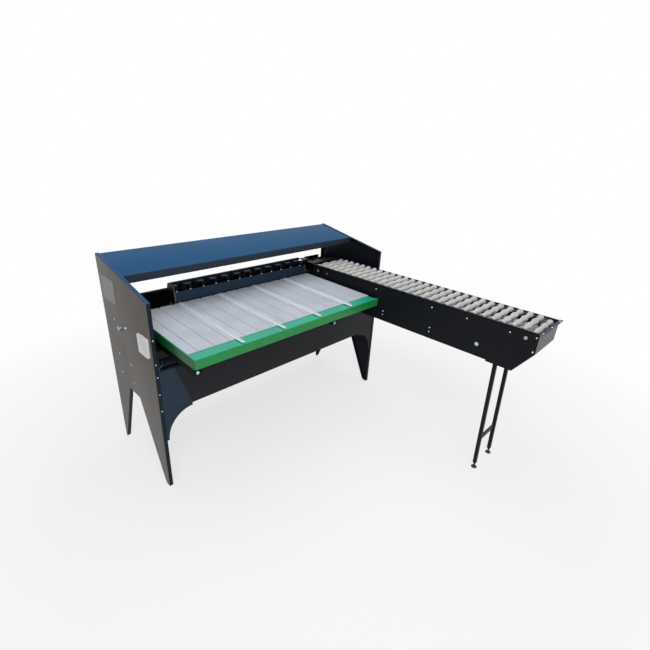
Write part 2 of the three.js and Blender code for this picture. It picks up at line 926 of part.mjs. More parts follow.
function weighLever(x) {
  const postY = pan.frontY + pan.bar / 2;
  const line = [
    [postY, pan.floorZ],
    [postY, pan.postFootZ],
    [pivot.y, pivot.z],
    [pan.armKneeY, pan.armZ],
    [pan.weightY + pan.bar, pan.armZ],
  ];
  const halfWeb = pan.web / 2;
  const halfHub = pan.hubWidth / 2;
  const halfPan = pan.width / 2;
  const solid = join(
    pushX(ribbon(line, pan.bar), x - halfWeb, x + halfWeb),
    pushX(panSection(pan.frontY), x - halfPan, x + halfPan),
    rodX(pivot.y, pivot.z, pan.hub, x - halfHub, x + halfHub, sides.tube),
    rodY(x, pan.armZ, pan.weightRadius, pan.weightY, pan.weightY + pan.weightLength, sides.tube),
  );
  return cut(solid, pivotHole(x - halfHub, x + halfHub));
}

for (let n = 0; n < lanes.scaleCount; n++) {
  const number = String(n + 1).padStart(2, "0");
  addPiece("weigh_lever_" + number, weighLever(laneX(lanes.scaleFirst + n)), finishes.black);
}

// Transfer: prongs that lift the eggs off the pans and carry them along by one grade

function transferProng(k) {
  const startX = rackLeft + carriage.startGap;
  const middle = midLaneX(k);
  const half = carriage.prongWidth / 2;
  const bottom = carriage.prongTop - carriage.prongThick;
  const backY = carriage.barY + carriage.barDepth;
  return block(
    Math.max(startX, middle - half),
    middle + half,
    carriage.prongFrontY,
    backY - fit.sheet,
    bottom,
    carriage.prongTop,
  );
}

function sliderBlock(x) {
  const half = carriage.sliderWidth / 2;
  const top = carriage.barTop - carriage.barHeight + fit.sheet;
  const body = block(
    x - half,
    x + half,
    carriage.sliderFrontY,
    carriage.sliderBackY,
    carriage.sliderBottom,
    top,
  );
  const bore = rodX(
    lift.railY,
    lift.railZ,
    lift.railRadius + fit.running,
    x - half - fit.overrun,
    x + half + fit.overrun,
  );
  return cut(body, bore);
}

function transferCarriage() {
  const startX = rackLeft + carriage.startGap;
  const backY = carriage.barY + carriage.barDepth;
  const bottom = carriage.barTop - carriage.barHeight;
  const bar = block(startX, rackRight, carriage.barY, backY, bottom, carriage.barTop);
  const tail = block(
    rackRight - carriage.barDepth,
    midLaneX(scaleEnd),
    carriage.barY,
    backY - fit.sheet,
    carriage.prongTop - carriage.prongThick,
    carriage.prongTop,
  );
  let solid = join(bar, tail);
  for (let k = lanes.scaleFirst; k <= scaleEnd; k++) solid = join(solid, transferProng(k));
  const middle = (lanes.scaleFirst + scaleEnd) / 2;
  for (const k of [lanes.scaleFirst + 1, middle, scaleEnd - 1]) {
    solid = join(solid, sliderBlock(midLaneX(k)));
  }
  return solid;
}

function liftBlock(x0, postX) {
  const halfDepth = lift.blockDepth / 2;
  const bottom = lift.railZ - lift.blockBottom;
  const top = lift.railZ + lift.blockTop;
  const body = block(x0, x0 + lift.blockLength, lift.railY - halfDepth, lift.railY + halfDepth, bottom, top);
  const boreRadius = lift.postRadius + fit.running;
  return cut(body, rodZ(postX, lift.railY, boreRadius, bottom - fit.overrun, top + fit.overrun));
}

function liftRail() {
  return join(
    liftBlock(lift.blockInset, lift.postInset),
    liftBlock(length - lift.blockInset - lift.blockLength, length - lift.postInset),
    rodX(lift.railY, lift.railZ, lift.railRadius, lift.railInset, length - lift.railInset),
  );
}

// A tube across the machine whose two arms push the lift blocks up.
function liftRocker() {
  const arms = [rocker.armInset, length - rocker.armInset - rocker.armWidth].map((x) => {
    const middle = x + rocker.armWidth / 2;
    const half = rocker.rollerWidth / 2;
    return join(
      capsuleX(rocker.y, rocker.z, lift.railY, rocker.armZ, rocker.armRadius, x, x + rocker.armWidth),
      rodX(lift.railY, rocker.armZ, rocker.radius, middle - half, middle + half, sides.tube),
    );
  });
  return join(rodX(rocker.y, rocker.z, rocker.radius, innerLeft, innerRight, sides.tube), ...arms);
}

addPiece("transfer_carriage", transferCarriage(), finishes.navyPaint);
addPiece("lift_rail", liftRail(), finishes.black);
addPiece("lift_rocker", liftRocker(), finishes.blackPaint);

// Drive: a gear motor at the left turns the main shaft, which turns the conveyor at the right

function bracketForMotor() {
  const legFront = motorBracket.frontY + motorBracket.frontTab;
  const legBack = motorBracket.backY - motorBracket.backTab;
  const line = [
    [innerLeft, motorBracket.backY],
    [innerLeft, legBack],
    [motorBracket.plateX, legBack],
    [motorBracket.plateX, legFront],
    [innerLeft, legFront],
    [innerLeft, motorBracket.frontY],
  ];
  const top = motorBracket.bottomZ + motorBracket.height;
  const hole = rodX(
    motor.y,
    motor.z,
    motorBracket.hole,
    motorBracket.plateX - fit.overrun,
    motorBracket.plateX + fit.sheet + fit.overrun,
  );
  return cut(pushZ(bentSheet(line), motorBracket.bottomZ, top), hole);
}

function gearMotor() {
  const faceX = motorBracket.plateX + fit.sheet + fit.seat;
  const halfWidth = motor.gearboxWidth / 2;
  const halfHeight = motor.gearboxHeight / 2;
  const neckX = faceX + motor.gearboxLength;
  const bodyX = neckX + motor.neck;
  const fanX = bodyX + motor.bodyLength;
  const gearbox = block(
    faceX,
    neckX,
    motor.y - halfWidth,
    motor.y + halfWidth,
    motor.z - halfHeight,
    motor.z + halfHeight,
  );
  return join(
    gearbox,
    rodX(motor.y, motor.z, motor.neckRadius, neckX - fit.sheet, bodyX + fit.sheet, sides.shaft),
    rodX(motor.y, motor.z, motor.bodyRadius, bodyX, fanX, sides.shaft),
    rodX(motor.y, motor.z, motor.fanRadius, fanX, fanX + motor.fanLength, sides.shaft),
  );
}

function motorSprocket() {
  const x = sprocket.leftInset;
  return join(
    rodX(motor.y, motor.z, sprocket.small, x, x + sprocket.width, sides.round),
    rodX(motor.y, motor.z, motor.shaftRadius, x - sprocket.width, motorBracket.plateX + fit.sheet),
  );
}

function driveChain() {
  return chainLoop(
    motor.y,
    motor.z,
    sprocket.small + chain.play,
    shaft.y,
    shaft.z,
    sprocket.large + chain.play,
    chain.thick,
    chainInset,
    chainInset + chain.width,
  );
}

function camLobe(x) {
  const y = shaft.y + shaft.camThrow;
  return capsuleX(shaft.y, shaft.z, y, shaft.z, shaft.camRadius, x, x + shaft.camWidth);
}

function mainShaft() {
  const leftX = sprocket.leftInset;
  return join(
    rodX(shaft.y, shaft.z, shaft.radius, -shaft.proud, length + shaft.proud),
    rodX(shaft.y, shaft.z, sprocket.large, leftX, leftX + sprocket.width, sides.round),
    rodX(shaft.y, shaft.z, sprocket.small, feedSprocketX, feedSprocketX + sprocket.width, sides.round),
    camLobe(shaft.camInset),
    camLobe(length - shaft.camInset - shaft.camWidth),
  );
}

// A flange with two bolt ears, set a little askew on the panel's inner face.
function shaftBearing(faceX, outwards) {
  const at = (depth) => faceX + outwards * depth;
  const span = (a, b) => [Math.min(at(a), at(b)), Math.max(at(a), at(b))];
  const plate = span(fit.seat, fit.seat + bearing.thick);
  const ears = capsuleX(
    shaft.y - bearing.boltY,
    shaft.z + bearing.boltZ,
    shaft.y + bearing.boltY,
    shaft.z - bearing.boltZ,
    bearing.ear,
    ...plate,
  );
  const solid = join(
    ears,
    rodX(shaft.y, shaft.z, bearing.body, ...plate, sides.round),
    rodX(shaft.y, shaft.z, bearing.boss, ...span(fit.seat, bearing.depth), sides.round),
  );
  const bore = span(-fit.overrun, bearing.depth + fit.overrun);
  return cut(solid, rodX(shaft.y, shaft.z, shaft.radius + fit.running, ...bore));
}

addPiece("motor_bracket", bracketForMotor(), finishes.blackPaint);
addPiece("gear_motor", gearMotor(), finishes.greyPaint);
addPiece("motor_sprocket", motorSprocket(), finishes.steel);
addPiece("drive_chain", driveChain(), finishes.steel);
addPiece("main_shaft", mainShaft(), finishes.steel);
addPiece("left_shaft_bearing", shaftBearing(fit.sheet, 1), finishes.steel);
addPiece("right_shaft_bearing", shaftBearing(length - fit.sheet, -1), finishes.steel);

// Roller conveyor

function conveyorWall(innerX, outwards) {
  const outline = [
    [conveyor.rearY, conveyor.topZ],
    [conveyor.frontY, conveyor.topZ],
    [conveyor.frontY, conveyor.noseZ],
    [conveyor.cornerY, heelZ],
    [conveyor.heelY, heelZ],
    [conveyor.heelY, conveyorBottom],
    [conveyor.rearCutY, conveyorBottom],
    [conveyor.rearCutY, conveyor.rearCutZ],
    [conveyor.rearY, conveyor.rearCutZ],
  ];
  const span = (from, to) => {
    const a = innerX + outwards * from;
    const b = innerX + outwards * to;
    return [Math.min(a, b), Math.max(a, b)];
  };
  const lip = block(
    ...span(0, fit.sheet + conveyor.lip),
    conveyor.frontY,
    conveyor.rearY,
    conveyor.topZ - fit.sheet,
    conveyor.topZ,
  );
  const across = span(-fit.overrun, fit.sheet + fit.overrun);
  const shaftHole = belt.shaftRadius + fit.running;
  return cut(
    join(pushX(outline, ...span(0, fit.sheet)), lip),
    rodX(belt.rearY, belt.axisZ, shaftHole, ...across),
    rodX(beltFrontY, belt.axisZ, shaftHole, ...across),
    rodX(leg.pivotY, legPivotZ, leg.pivotRadius + fit.running, ...across),
  );
}

// The end plate closes the conveyor's nose, and its top folds outwards.
function conveyorEndPlate() {
  const nose = offsetLine(
    [
      [conveyor.cornerY, heelZ],
      [conveyor.frontY, conveyor.noseZ],
      [conveyor.frontY, conveyor.topZ],
    ],
    fit.seat,
    false,
  );
  const topY = conveyor.frontY - endPlate.topReach;
  const line = [...nose, [topY, conveyor.topZ]];
  const corner = block(
    wallOuterRight - fit.sheet,
    wallOuterRight + endPlate.corner,
    topY,
    conveyor.frontY - fit.seat,
    conveyor.topZ - fit.sheet,
    conveyor.topZ,
  );
  return join(pushX(bentSheet(line), wallOuterLeft, wallOuterRight), corner);
}

function crossBrace(y) {
  const bottom = conveyorBottom + brace.rise;
  const top = bottom + brace.height;
  const line = [
    [y + brace.hem, top],
    [y, top],
    [y, bottom],
    [y + brace.hem, bottom],
  ];
  return pushX(bentSheet(line), wallInnerLeft + fit.seat, wallInnerRight - fit.seat);
}

addPiece("conveyor_wall_left", conveyorWall(wallInnerLeft, -1), finishes.blackPaint);
addPiece("conveyor_wall_right", conveyorWall(wallInnerRight, 1), finishes.blackPaint);
addPiece("conveyor_end_plate", conveyorEndPlate(), finishes.blackPaint);
addPiece("conveyor_cross_brace_rear", crossBrace(brace.rearY), finishes.blackPaint);
addPiece("conveyor_cross_brace_front", crossBrace(brace.frontY), finishes.blackPaint);

// Where a roller's axis lies, for a distance along the loop from the rear end of the top run.
function onBelt(distance) {
  const halfTurn = Math.PI * belt.wrap;
  if (distance < beltRun) return [belt.rearY - distance, belt.axisZ + belt.wrap];
  if (distance < beltRun + halfTurn) {
    const angle = Math.PI / 2 + (distance - beltRun) / belt.wrap;
    return [beltFrontY + belt.wrap * Math.cos(angle), belt.axisZ + belt.wrap * Math.sin(angle)];
  }
  if (distance < 2 * beltRun + halfTurn) {
    return [beltFrontY + (distance - beltRun - halfTurn), belt.axisZ - belt.wrap];
  }
  const angle = (distance - 2 * beltRun - halfTurn) / belt.wrap - Math.PI / 2;
  return [belt.rearY + belt.wrap * Math.cos(angle), belt.axisZ + belt.wrap * Math.sin(angle)];
}

const bandLeftX = wallInnerLeft + belt.bandInset;
const bandRightX = wallInnerRight - belt.bandInset;
const rollerLeftX = bandLeftX + belt.bandWidth - fit.seat;
const rollerRightX = bandRightX - belt.bandWidth + fit.seat;

// One roller, with a waist where each row of eggs rests.
function eggRoller(y, z) {
  const profile = [
    [0, rollerLeftX],
    [belt.endRadius, rollerLeftX],
  ];
  for (let row = 0; row < lanes.feedCount; row++) {
    const k = lanes.trayCount + row;
    const endX = row === lanes.feedCount - 1 ? rollerRightX : midLaneX(k + 1);
    profile.push([belt.waistRadius, laneX(k)], [belt.endRadius, endX]);
  }
  profile.push([0, rollerRightX]);
  const points = profile.map(([r, x]) => new THREE.Vector2(r, x));
  const geometry = new THREE.LatheGeometry(points, sides.roller);
  geometry.rotateZ(-Math.PI / 2);
  geometry.translate(0, y, z);
  return toSolid(geometry);
}

function rollerChain() {
  const band = (x0) =>
    chainLoop(
      beltFrontY,
      belt.axisZ,
      belt.wrap - belt.band / 2,
      belt.rearY,
      belt.axisZ,
      belt.wrap - belt.band / 2,
      belt.band,
      x0,
      x0 + belt.bandWidth,
    );
  const hiddenRadius = (belt.endRadius + belt.waistRadius) / 2;
  const rollers = [];
  for (let i = 0; i < belt.rollerCount; i++) {
    const [y, z] = onBelt((i + 1 / 2) * belt.spacing);
    const onTop = z > belt.axisZ;
    rollers.push(
      onTop ? eggRoller(y, z) : rodX(y, z, hiddenRadius, rollerLeftX, rollerRightX, sides.hiddenRoller),
    );
  }
  return join(band(bandLeftX), band(bandRightX - belt.bandWidth), ...rollers);
}

// A shaft across the conveyor, with a disc that carries each side band of the roller chain.
function beltShaft(y, endX) {
  const discX = bandLeftX + fit.seat;
  const farDiscX = bandRightX - fit.seat - belt.discWidth;
  return join(
    rodX(y, belt.axisZ, belt.shaftRadius, wallOuterLeft - belt.shaftProud, endX),
    rodX(y, belt.axisZ, belt.discRadius, discX, discX + belt.discWidth),
    rodX(y, belt.axisZ, belt.discRadius, farDiscX, farDiscX + belt.discWidth),
  );
}

function conveyorDriveShaft() {
  const endX = feedSprocketX + sprocket.width;
  return join(
    beltShaft(belt.rearY, endX + belt.shaftProud),
    rodX(belt.rearY, belt.axisZ, sprocket.small, feedSprocketX, endX, sides.round),
  );
}

function conveyorChain() {
  const radius = sprocket.small + chain.play;
  return chainLoop(
    belt.rearY,
    belt.axisZ,
    radius,
    shaft.y,
    shaft.z,
    radius,
    chain.thick,
    feedChainX,
    feedChainX + chain.width,
  );
}

// A ramp from the last roller to three fixed pans, where the transfer picks the eggs up.
function infeedCradle() {
  const rampTop = pan.floorZ + pan.frontRise;
  const ramp = bentSheet(
    [
      [pan.frontY + fit.sheet, rampTop],
      [cradle.rampBackY, rampTop],
      [cradle.rampFrontY, rampTop + cradle.rampDrop],
    ],
    pan.thick,
  );
  const inset = belt.bandInset + conveyor.play;
  let solid = pushX(ramp, wallInnerLeft + inset, wallInnerRight - inset);
  const footZ = rack.channelTop + fit.seat;
  const postY = pan.frontY + pan.bar / 2;
  const legLine = [
    [cradle.legFootY, footZ],
    [cradle.legKneeY, cradle.legZ],
    [postY, cradle.legZ],
    [postY, pan.floorZ],
  ];
  for (let k = lanes.trayCount; k < feedEnd; k++) {
    const half = pan.width / 2;
    const x = laneX(k);
    solid = join(solid, pushX(panSection(pan.frontY), x - half, x + half));
  }
  for (const k of [lanes.trayCount, feedEnd - 1]) {
    const half = cradle.legWidth / 2;
    const x = laneX(k);
    const legBar = pushX(ribbon(legLine, pan.bar), x - half, x + half);
    const footTop = footZ + cradle.footThick;
    const footPlate = block(x - half, x + half, cradle.footFrontY, cradle.footBackY, footZ, footTop);
    const below = block(
      x - half - fit.overrun,
      x + half + fit.overrun,
      cradle.footFrontY,
      cradle.footBackY,
      footZ - pan.bar,
      footZ,
    );
    solid = join(solid, footPlate, cut(legBar, below));
  }
  return solid;
}

// A welded frame on the front beam that carries the conveyor's rear half.
function supportFrame() {
  const z0 = beam.bottom + beam.height + fit.seat;
  const z1 = conveyorBottom - fit.seat;
  const leftX = wallOuterLeft - saddle.reach;
  const flangeX = length - frame.flange - fit.seat;
  const frontY = 2 * (fit.sheet + fit.seat);
  const flangeY = frame.flange + fit.seat;
  const ring = join(
    block(leftX, flangeX, frontY, saddle.rearY, z0, z1),
    block(leftX, innerRight, flangeY, saddle.rearY, z0, z1),
  );
  const gap = block(
    leftX + saddle.tube,
    flangeX - saddle.tube,
    flangeY + saddle.tube,
    saddle.rearY - saddle.tube,
    z0 - fit.overrun,
    z1 + fit.overrun,
  );
  return cut(ring, gap);
}

addPiece("conveyor_roller_chain", rollerChain(), finishes.roller);
addPiece("conveyor_drive_shaft", conveyorDriveShaft(), finishes.steel);
addPiece(
  "conveyor_idler_shaft",
  beltShaft(beltFrontY, wallOuterRight + belt.shaftProud),
  finishes.steel,
);
addPiece("conveyor_drive_chain", conveyorChain(), finishes.steel);
addPiece("infeed_cradle", infeedCradle(), finishes.blackPaint);
addPiece("conveyor_support_frame", supportFrame(), finishes.blackPaint, housing);

// Folding leg frame, built along its own leaning axis from the pivot down

const legTurn = -Math.atan2(leg.leanOut, legPivotZ);
const legLength = legPivotZ / Math.cos(legTurn);
const legGroup = new THREE.Group();
legGroup.position.set(0, leg.pivotY, legPivotZ);
legGroup.rotation.x = legTurn;
works.add(legGroup);
const legXs = [wallInnerLeft + leg.inset, wallInnerRight - leg.inset];
const alongLeg = (height) => height - legLength;

function legFrame() {
  const half = leg.tube / 2;
  const hollow = half - leg.wall;
  const top = half + leg.topRise;
  const tubes = legXs.map((x) => {
    const bore = rodZ(x, 0, foot.rod + fit.running, alongLeg(0), alongLeg(foot.boreTop), sides.tube);
    const inside = block(
      x - hollow,
      x + hollow,
      -hollow,
      hollow,
      alongLeg(foot.boreTop + leg.wall),
      top + fit.overrun,
    );
    return cut(block(x - half, x + half, -half, half, alongLeg(leg.endZ), top), bore, inside);
  });
  const past = fit.sheet + belt.shaftProud;
  const rod = rodX(0, 0, leg.pivotRadius, wallInnerLeft - past, wallInnerRight + past, sides.tube);
  const bar = block(
    legXs[0],
    legXs[1],
    -leg.braceThick / 2,
    leg.braceThick / 2,
    alongLeg(leg.braceZ),
    alongLeg(leg.braceZ + leg.braceHeight),
  );
  return join(...tubes, rod, bar);
}

// The disc lies flat on the floor, while the threaded rod follows the leg.
function levellingFoot(x) {
  const disc = new THREE.CylinderGeometry(foot.radius, foot.radius, foot.thick, sides.round);
  disc.rotateX(Math.PI / 2);
  disc.translate(0, 0, foot.thick / 2);
  disc.rotateX(-legTurn);
  disc.translate(x, 0, alongLeg(0));
  return join(
    toSolid(disc),
    rodZ(x, 0, foot.rod, alongLeg(foot.rodFoot), alongLeg(foot.rodTop), sides.tube),
  );
}

addPiece("leg_frame", legFrame(), finishes.black, legGroup);
addPiece("levelling_foot_left", levellingFoot(legXs[0]), finishes.steel, legGroup);
addPiece("levelling_foot_right", levellingFoot(legXs[1]), finishes.steel, legGroup);

// The origin goes to the middle of the machine's footprint on the floor.
const machineBox = new THREE.Box3().setFromObject(machine, true);
const middle = machineBox.getCenter(new THREE.Vector3());
machine.position.set(-middle.x, -middle.y, -machineBox.min.z);

export default machine;
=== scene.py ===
import math

import bmesh
import bpy
from mathutils import Matrix, Vector


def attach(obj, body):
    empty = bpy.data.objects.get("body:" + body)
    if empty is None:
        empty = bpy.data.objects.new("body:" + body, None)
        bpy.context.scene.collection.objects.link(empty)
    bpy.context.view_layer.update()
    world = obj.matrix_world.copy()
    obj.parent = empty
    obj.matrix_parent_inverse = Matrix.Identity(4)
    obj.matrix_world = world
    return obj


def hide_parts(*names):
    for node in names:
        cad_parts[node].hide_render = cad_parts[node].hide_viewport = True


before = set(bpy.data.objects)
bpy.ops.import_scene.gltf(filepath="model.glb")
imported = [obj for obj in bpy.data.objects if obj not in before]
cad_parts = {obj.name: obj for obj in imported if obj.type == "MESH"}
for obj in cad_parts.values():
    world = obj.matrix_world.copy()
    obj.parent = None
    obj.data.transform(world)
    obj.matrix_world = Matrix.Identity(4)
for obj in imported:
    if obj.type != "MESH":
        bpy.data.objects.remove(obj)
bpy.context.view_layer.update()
print("frame loaded")


middleFoot = (729, -276, 0)  # the part's middle on the floor, in the millimetres that at() takes


def at(*place):  # millimetres from the left panel's front foot, as the part is measured
    return Vector([(p - m) / 1000 for p, m in zip(place, middleFoot)])


def paint(*screen):  # a screen colour as the light that it gives
    shares = [c / 255 for c in screen]
    return tuple(c / 12.92 if c <= 0.04045 else ((c + 0.055) / 1.055) ** 2.4 for c in shares) + (1.0,)



# Camera
view = {
    "place": (-1.29893, -1.18016, 1.47486),
    "forward": (0.64934911, 0.64283479, -0.40633626),
    "right": (0.71584422, -0.6970422, 0.0412216),
    "data": {
        "sensor_width": 36,
        "lens": 22.679,
        "shift_x": 0.01763,
        "shift_y": 0.004446,
        "clip_start": 0.01,
    },
}


def placeCamera():
    bpy.ops.object.camera_add(location=view["place"])
    camera = bpy.context.object
    right, back = Vector(view["right"]), Vector(view["forward"]) * -1
    camera.rotation_euler = Matrix((right, back.cross(right), back)).transposed().to_euler()
    for key, value in view["data"].items():
        setattr(camera.data, key, value)
    bpy.context.scene.camera = camera



bpy.ops.object.select_all(action="DESELECT")
placeCamera()
print("camera placed")


# Shader maths
class Signal:  # a socket that adds maths nodes when it is added, multiplied and so on
    def __init__(self, finish, socket):
        self.finish, self.socket = finish, socket

    def maths(self, operation, *values):
        return self.finish.node("ShaderNodeMath", {"operation": operation}, dict(enumerate(values)))

    def __add__(self, other):
        return self.maths("ADD", self, other)

    def __radd__(self, other):
        return self.maths("ADD", other, self)

    def __sub__(self, other):
        return self.maths("SUBTRACT", self, other)

    def __mul__(self, other):
        return self.maths("MULTIPLY", self, other)

    def span(self, low, high, start=0.0, end=1.0):  # low to high becomes start to end
        values = {"Value": self, "From Min": low, "From Max": high, "To Min": start, "To Max": end}
        return self.finish.node("ShaderNodeMapRange", {}, values)


class Finish:  # one material, built round its shader
    def __init__(self, name, roughness=0.5, metallic=0.0, **fixed):
        self.material = bpy.data.materials.new(name)
        self.material.use_nodes = True
        self.tree = self.material.node_tree
        self.tree.nodes.clear()
        self.shader = self.tree.nodes.new("ShaderNodeBsdfPrincipled")
        self.out = self.tree.nodes.new("ShaderNodeOutputMaterial")
        self.tree.links.new(self.shader.outputs["BSDF"], self.out.inputs["Surface"])
        self.set(Roughness=roughness, Metallic=metallic, **fixed)
        self.place = self.node("ShaderNodeTexCoord", output="Object")

    def feed(self, socket, value):
        if isinstance(value, Signal):
            self.tree.links.new(value.socket, socket)
        else:
            socket.default_value = value

    def node(self, kind, settings=None, sockets=None, output=0):
        made = self.tree.nodes.new(kind)
        for key, value in (settings or {}).items():
            setattr(made, key, value)
        for key, value in (sockets or {}).items():
            self.feed(made.inputs[key], value)
        return Signal(self, made.outputs[output])

    def set(self, **values):
        for key, value in values.items():
            self.feed(self.shader.inputs[key.replace("_", " ")], value)

    def noise(self, size, detail=3.0, stretch=(1, 1, 1)):  # size of its spots in metres
        place = self.node("ShaderNodeMapping", {}, {"Vector": self.place, "Scale": stretch})
        values = {"Vector": place, "Scale": 1 / size, "Detail": detail}
        return self.node("ShaderNodeTexNoise", {}, values)

    def mix(self, first, second, share):
        return self.node("ShaderNodeMix", {"data_type": "RGBA"}, {0: share, 6: first, 7: second}, 2)

    def part(self, vector, axis):
        return self.node("ShaderNodeSeparateXYZ", {}, {0: vector}, axis)

    def facing(self, axis):  # 1 where the surface looks along the axis
        return self.part(self.node("ShaderNodeNewGeometry", output="Normal"), axis)

    def rounded(self, radius):  # edges catch the light as if they were filed
        return self.node("ShaderNodeBevel", {"samples": 4}, {"Radius": radius})

    def edges(self, radius):  # 1 on sharp edges, 0 on flats
        normal = self.node("ShaderNodeNewGeometry", output="Normal")
        level = {0: self.rounded(radius), 1: normal}
        dot = self.node("ShaderNodeVectorMath", {"operation": "DOT_PRODUCT"}, level, "Value")
        return dot.span(0.995, 0.9)

    def done(self, colour, rough, height, look):  # with the look's depth of bumps and radius of edges
        bumps = {"Strength": 1.0, "Distance": look["grainDepth"], "Height": height}
        bumps["Normal"] = self.rounded(look["edge"])
        self.set(Base_Color=colour, Roughness=rough, Normal=self.node("ShaderNodeBump", {}, bumps))
        return self.material


# Finishes
# side is the colour of faces that look sideways or down, top of faces that look up; top is the paint with
# a painted reflection of the sky, and some sides are painted light or shade as noted below
coats = {
    "shelf": {"side": (50, 58, 70), "top": (16, 76, 118), "shine": 0.06, "dust": 0.0},
    # panel and inner: the outer faces, which look out along X, are warm grey: a painted reflection of the
    # ground on the navy paint
    "panel": {"side": (24, 36, 48), "top": (14, 62, 104), "outer": (104, 99, 94), "shine": 0.12},
    "inner": {"side": (16, 20, 28), "top": (14, 58, 96), "outer": (104, 99, 94), "shine": 0.1}
    | {"outerWay": 1},
    # navy: the beam's paint as it looks in light, on the left gusset and the patch over the beam: painted
    # light
    "navy": {"side": (40, 57, 74), "top": (36, 58, 88), "rough": 0.34, "shine": 0.16},
    # station: the scale front plate, navy, turns near black above a set height: painted shade along its
    # top, between it and the transfer bar
    "station": {"side": (38, 56, 76), "top": (38, 58, 80), "above": (10, 12, 17), "shine": 0.12},
    # cheek: the scale end bracket, navy paint, near black on its faces: painted shade; its edge faces are
    # light grey
    "cheek": {"side": (12, 14, 19), "top": (26, 38, 56), "edgeFaceGrey": (138, 136, 130), "shine": 0.1},
    # shade: the rear panel, darker than the other black parts: painted shade of the machine's inside
    "shade": {"side": (9, 10, 13), "top": (14, 16, 20), "rough": 0.5, "shine": 0.04, "dust": 0.0},
    "wall": {"side": (21, 24, 28), "top": (28, 38, 58), "shine": 0.1, "dust": 0.04},
    # nose: the conveyor end plate, black paint, grey on faces that look sideways: painted reflection
    "nose": {"side": (94, 94, 90), "top": (30, 40, 60), "rough": 0.4},
    # beam: the same paint as it looks in shadow, on the beam, the right gusset and the conveyor supports:
    # painted shade
    "beam": {"side": (39, 41, 45), "top": (44, 56, 70), "rough": 0.4, "shine": 0.12},
    "transfer": {"side": (22, 38, 50), "top": (70, 92, 108), "rough": 0.34, "shine": 0.16},
    "leg": {"side": (20, 21, 24), "top": (30, 34, 40), "rough": 0.38, "shine": 0.14},
    "dark": {"side": (20, 22, 26), "top": (30, 34, 40), "rough": 0.42, "shine": 0.12},
    # works: near black; on the steel weigh pans and the zinc pivot shaft and lift rail it is painted shade
    # under the transfer bar, and the hidden coat uses it on black-painted parts
    "works": {"side": (10, 11, 14), "top": (16, 18, 22), "rough": 0.5, "shine": 0.06},
    "motor": {"side": (46, 66, 86), "top": (58, 82, 104), "rough": 0.42, "dust": 0.16},
    "cast": {"side": (44, 48, 54), "top": (58, 62, 68), "rough": 0.5, "dust": 0.12},
}
coatPlain = {
    "rough": 0.36,
    "shine": 0.18,
    "dust": 0.06,
    "aboveZ": 0.796,
    "outerWay": -1,
    "blend": 0.001,
    "patchSize": 0.25,
    "patchDark": 0.12,
    "grainSize": 0.0014,
    "grainDepth": 0.00003,
    "dustSize": 0.05,
    "dustColour": (150, 148, 142),
    "wearAndHighlight": 0.3,
    "wearSize": 0.02,
    "wearEdge": 0.0012,
    "wearAndHighlightColour": (128, 132, 138),
    "edge": 0.0008,
}


def powderCoat(name, kind):
    values = {**coatPlain, **coats[kind]}
    made = Finish(name, Specular_IOR_Level=values["shine"])
    patch = made.noise(values["patchSize"], 4)
    up = made.facing(2)
    # faces that look up take the top colour: a painted reflection of the sky
    base = made.mix(paint(*values["side"]), paint(*values["top"]), up.span(0.35, 0.9))
    # faces that look outwards along X take the outer colour: a painted reflection of the ground
    if "outer" in values:
        outward = made.facing(0) * values["outerWay"]
        base = made.mix(base, paint(*values["outer"]), outward.span(0.6, 0.9))
    # above a set height the colour turns to the above colour: painted shade
    if "above" in values:
        z, blend = values["aboveZ"], values["blend"]
        base = made.mix(base, paint(*values["above"]), made.part(made.place, 2).span(z - blend, z + blend))
    # faces that don't look along X, the sheet's edge faces, turn light grey
    if "edgeFaceGrey" in values:
        flat = made.facing(0)
        base = made.mix(base, paint(*values["edgeFaceGrey"]), (flat * flat).span(0.4, 0.1))
    base = made.mix(base, (0, 0, 0, 1), patch.span(0.3, 0.7) * values["patchDark"])
    dustMask = up.span(0.4, 1) * made.noise(values["dustSize"], 6).span(0.4, 0.75) * values["dust"]
    base = made.mix(base, paint(*values["dustColour"]), dustMask)
    # light grey in patches along sharp edges: worn paint, and a painted highlight on the edges
    wearAndHighlight = made.edges(values["wearEdge"]) * made.noise(values["wearSize"], 5).span(0.42, 0.7)
    base = made.mix(base, paint(*values["wearAndHighlightColour"]), wearAndHighlight * values["wearAndHighlight"])
    rough = values["rough"] + patch * 0.08 + dustMask + wearAndHighlight * 0.1
    return made.done(base, rough, made.noise(values["grainSize"], 2), values)


metal = {
    "metallic": 0.9,
    "lineSize": 0.0012,
    "grainDepth": 0.00002,
    "lineLight": 0.25,
    "lineColour": (230, 232, 236),
    "dark": 0.72,
    "edge": 0.0005,
}


def darker(colour, share):
    return tuple(c * share for c in paint(*colour)[:3]) + (1,)


def plainMetal(name, colour, rough, streak=(1, 1, 1), wearSize=0.03):
    made = Finish(name, metallic=metal["metallic"])
    spot = made.noise(wearSize, 5)
    line = made.noise(metal["lineSize"], 3, streak)
    base = made.mix(darker(colour, metal["dark"]), paint(*colour), spot.span(0.3, 0.65))
    base = made.mix(base, paint(*metal["lineColour"]), line.span(0.5, 0.9) * metal["lineLight"])
    return made.done(base, rough + spot * 0.14 + line * 0.08, line, metal)


plastic = {"spotSize": 0.08, "grainSize": 0.0009, "grainDepth": 0.00002, "edge": 0.0006}


def moulded(name, colour, rough, soil=0.12):
    made = Finish(name)
    spot = made.noise(plastic["spotSize"], 5)
    base = made.mix(darker(colour, 1 - soil), paint(*colour), spot.span(0.35, 0.62))
    return made.done(base, rough + spot * 0.1, made.noise(plastic["grainSize"], 2), plastic)


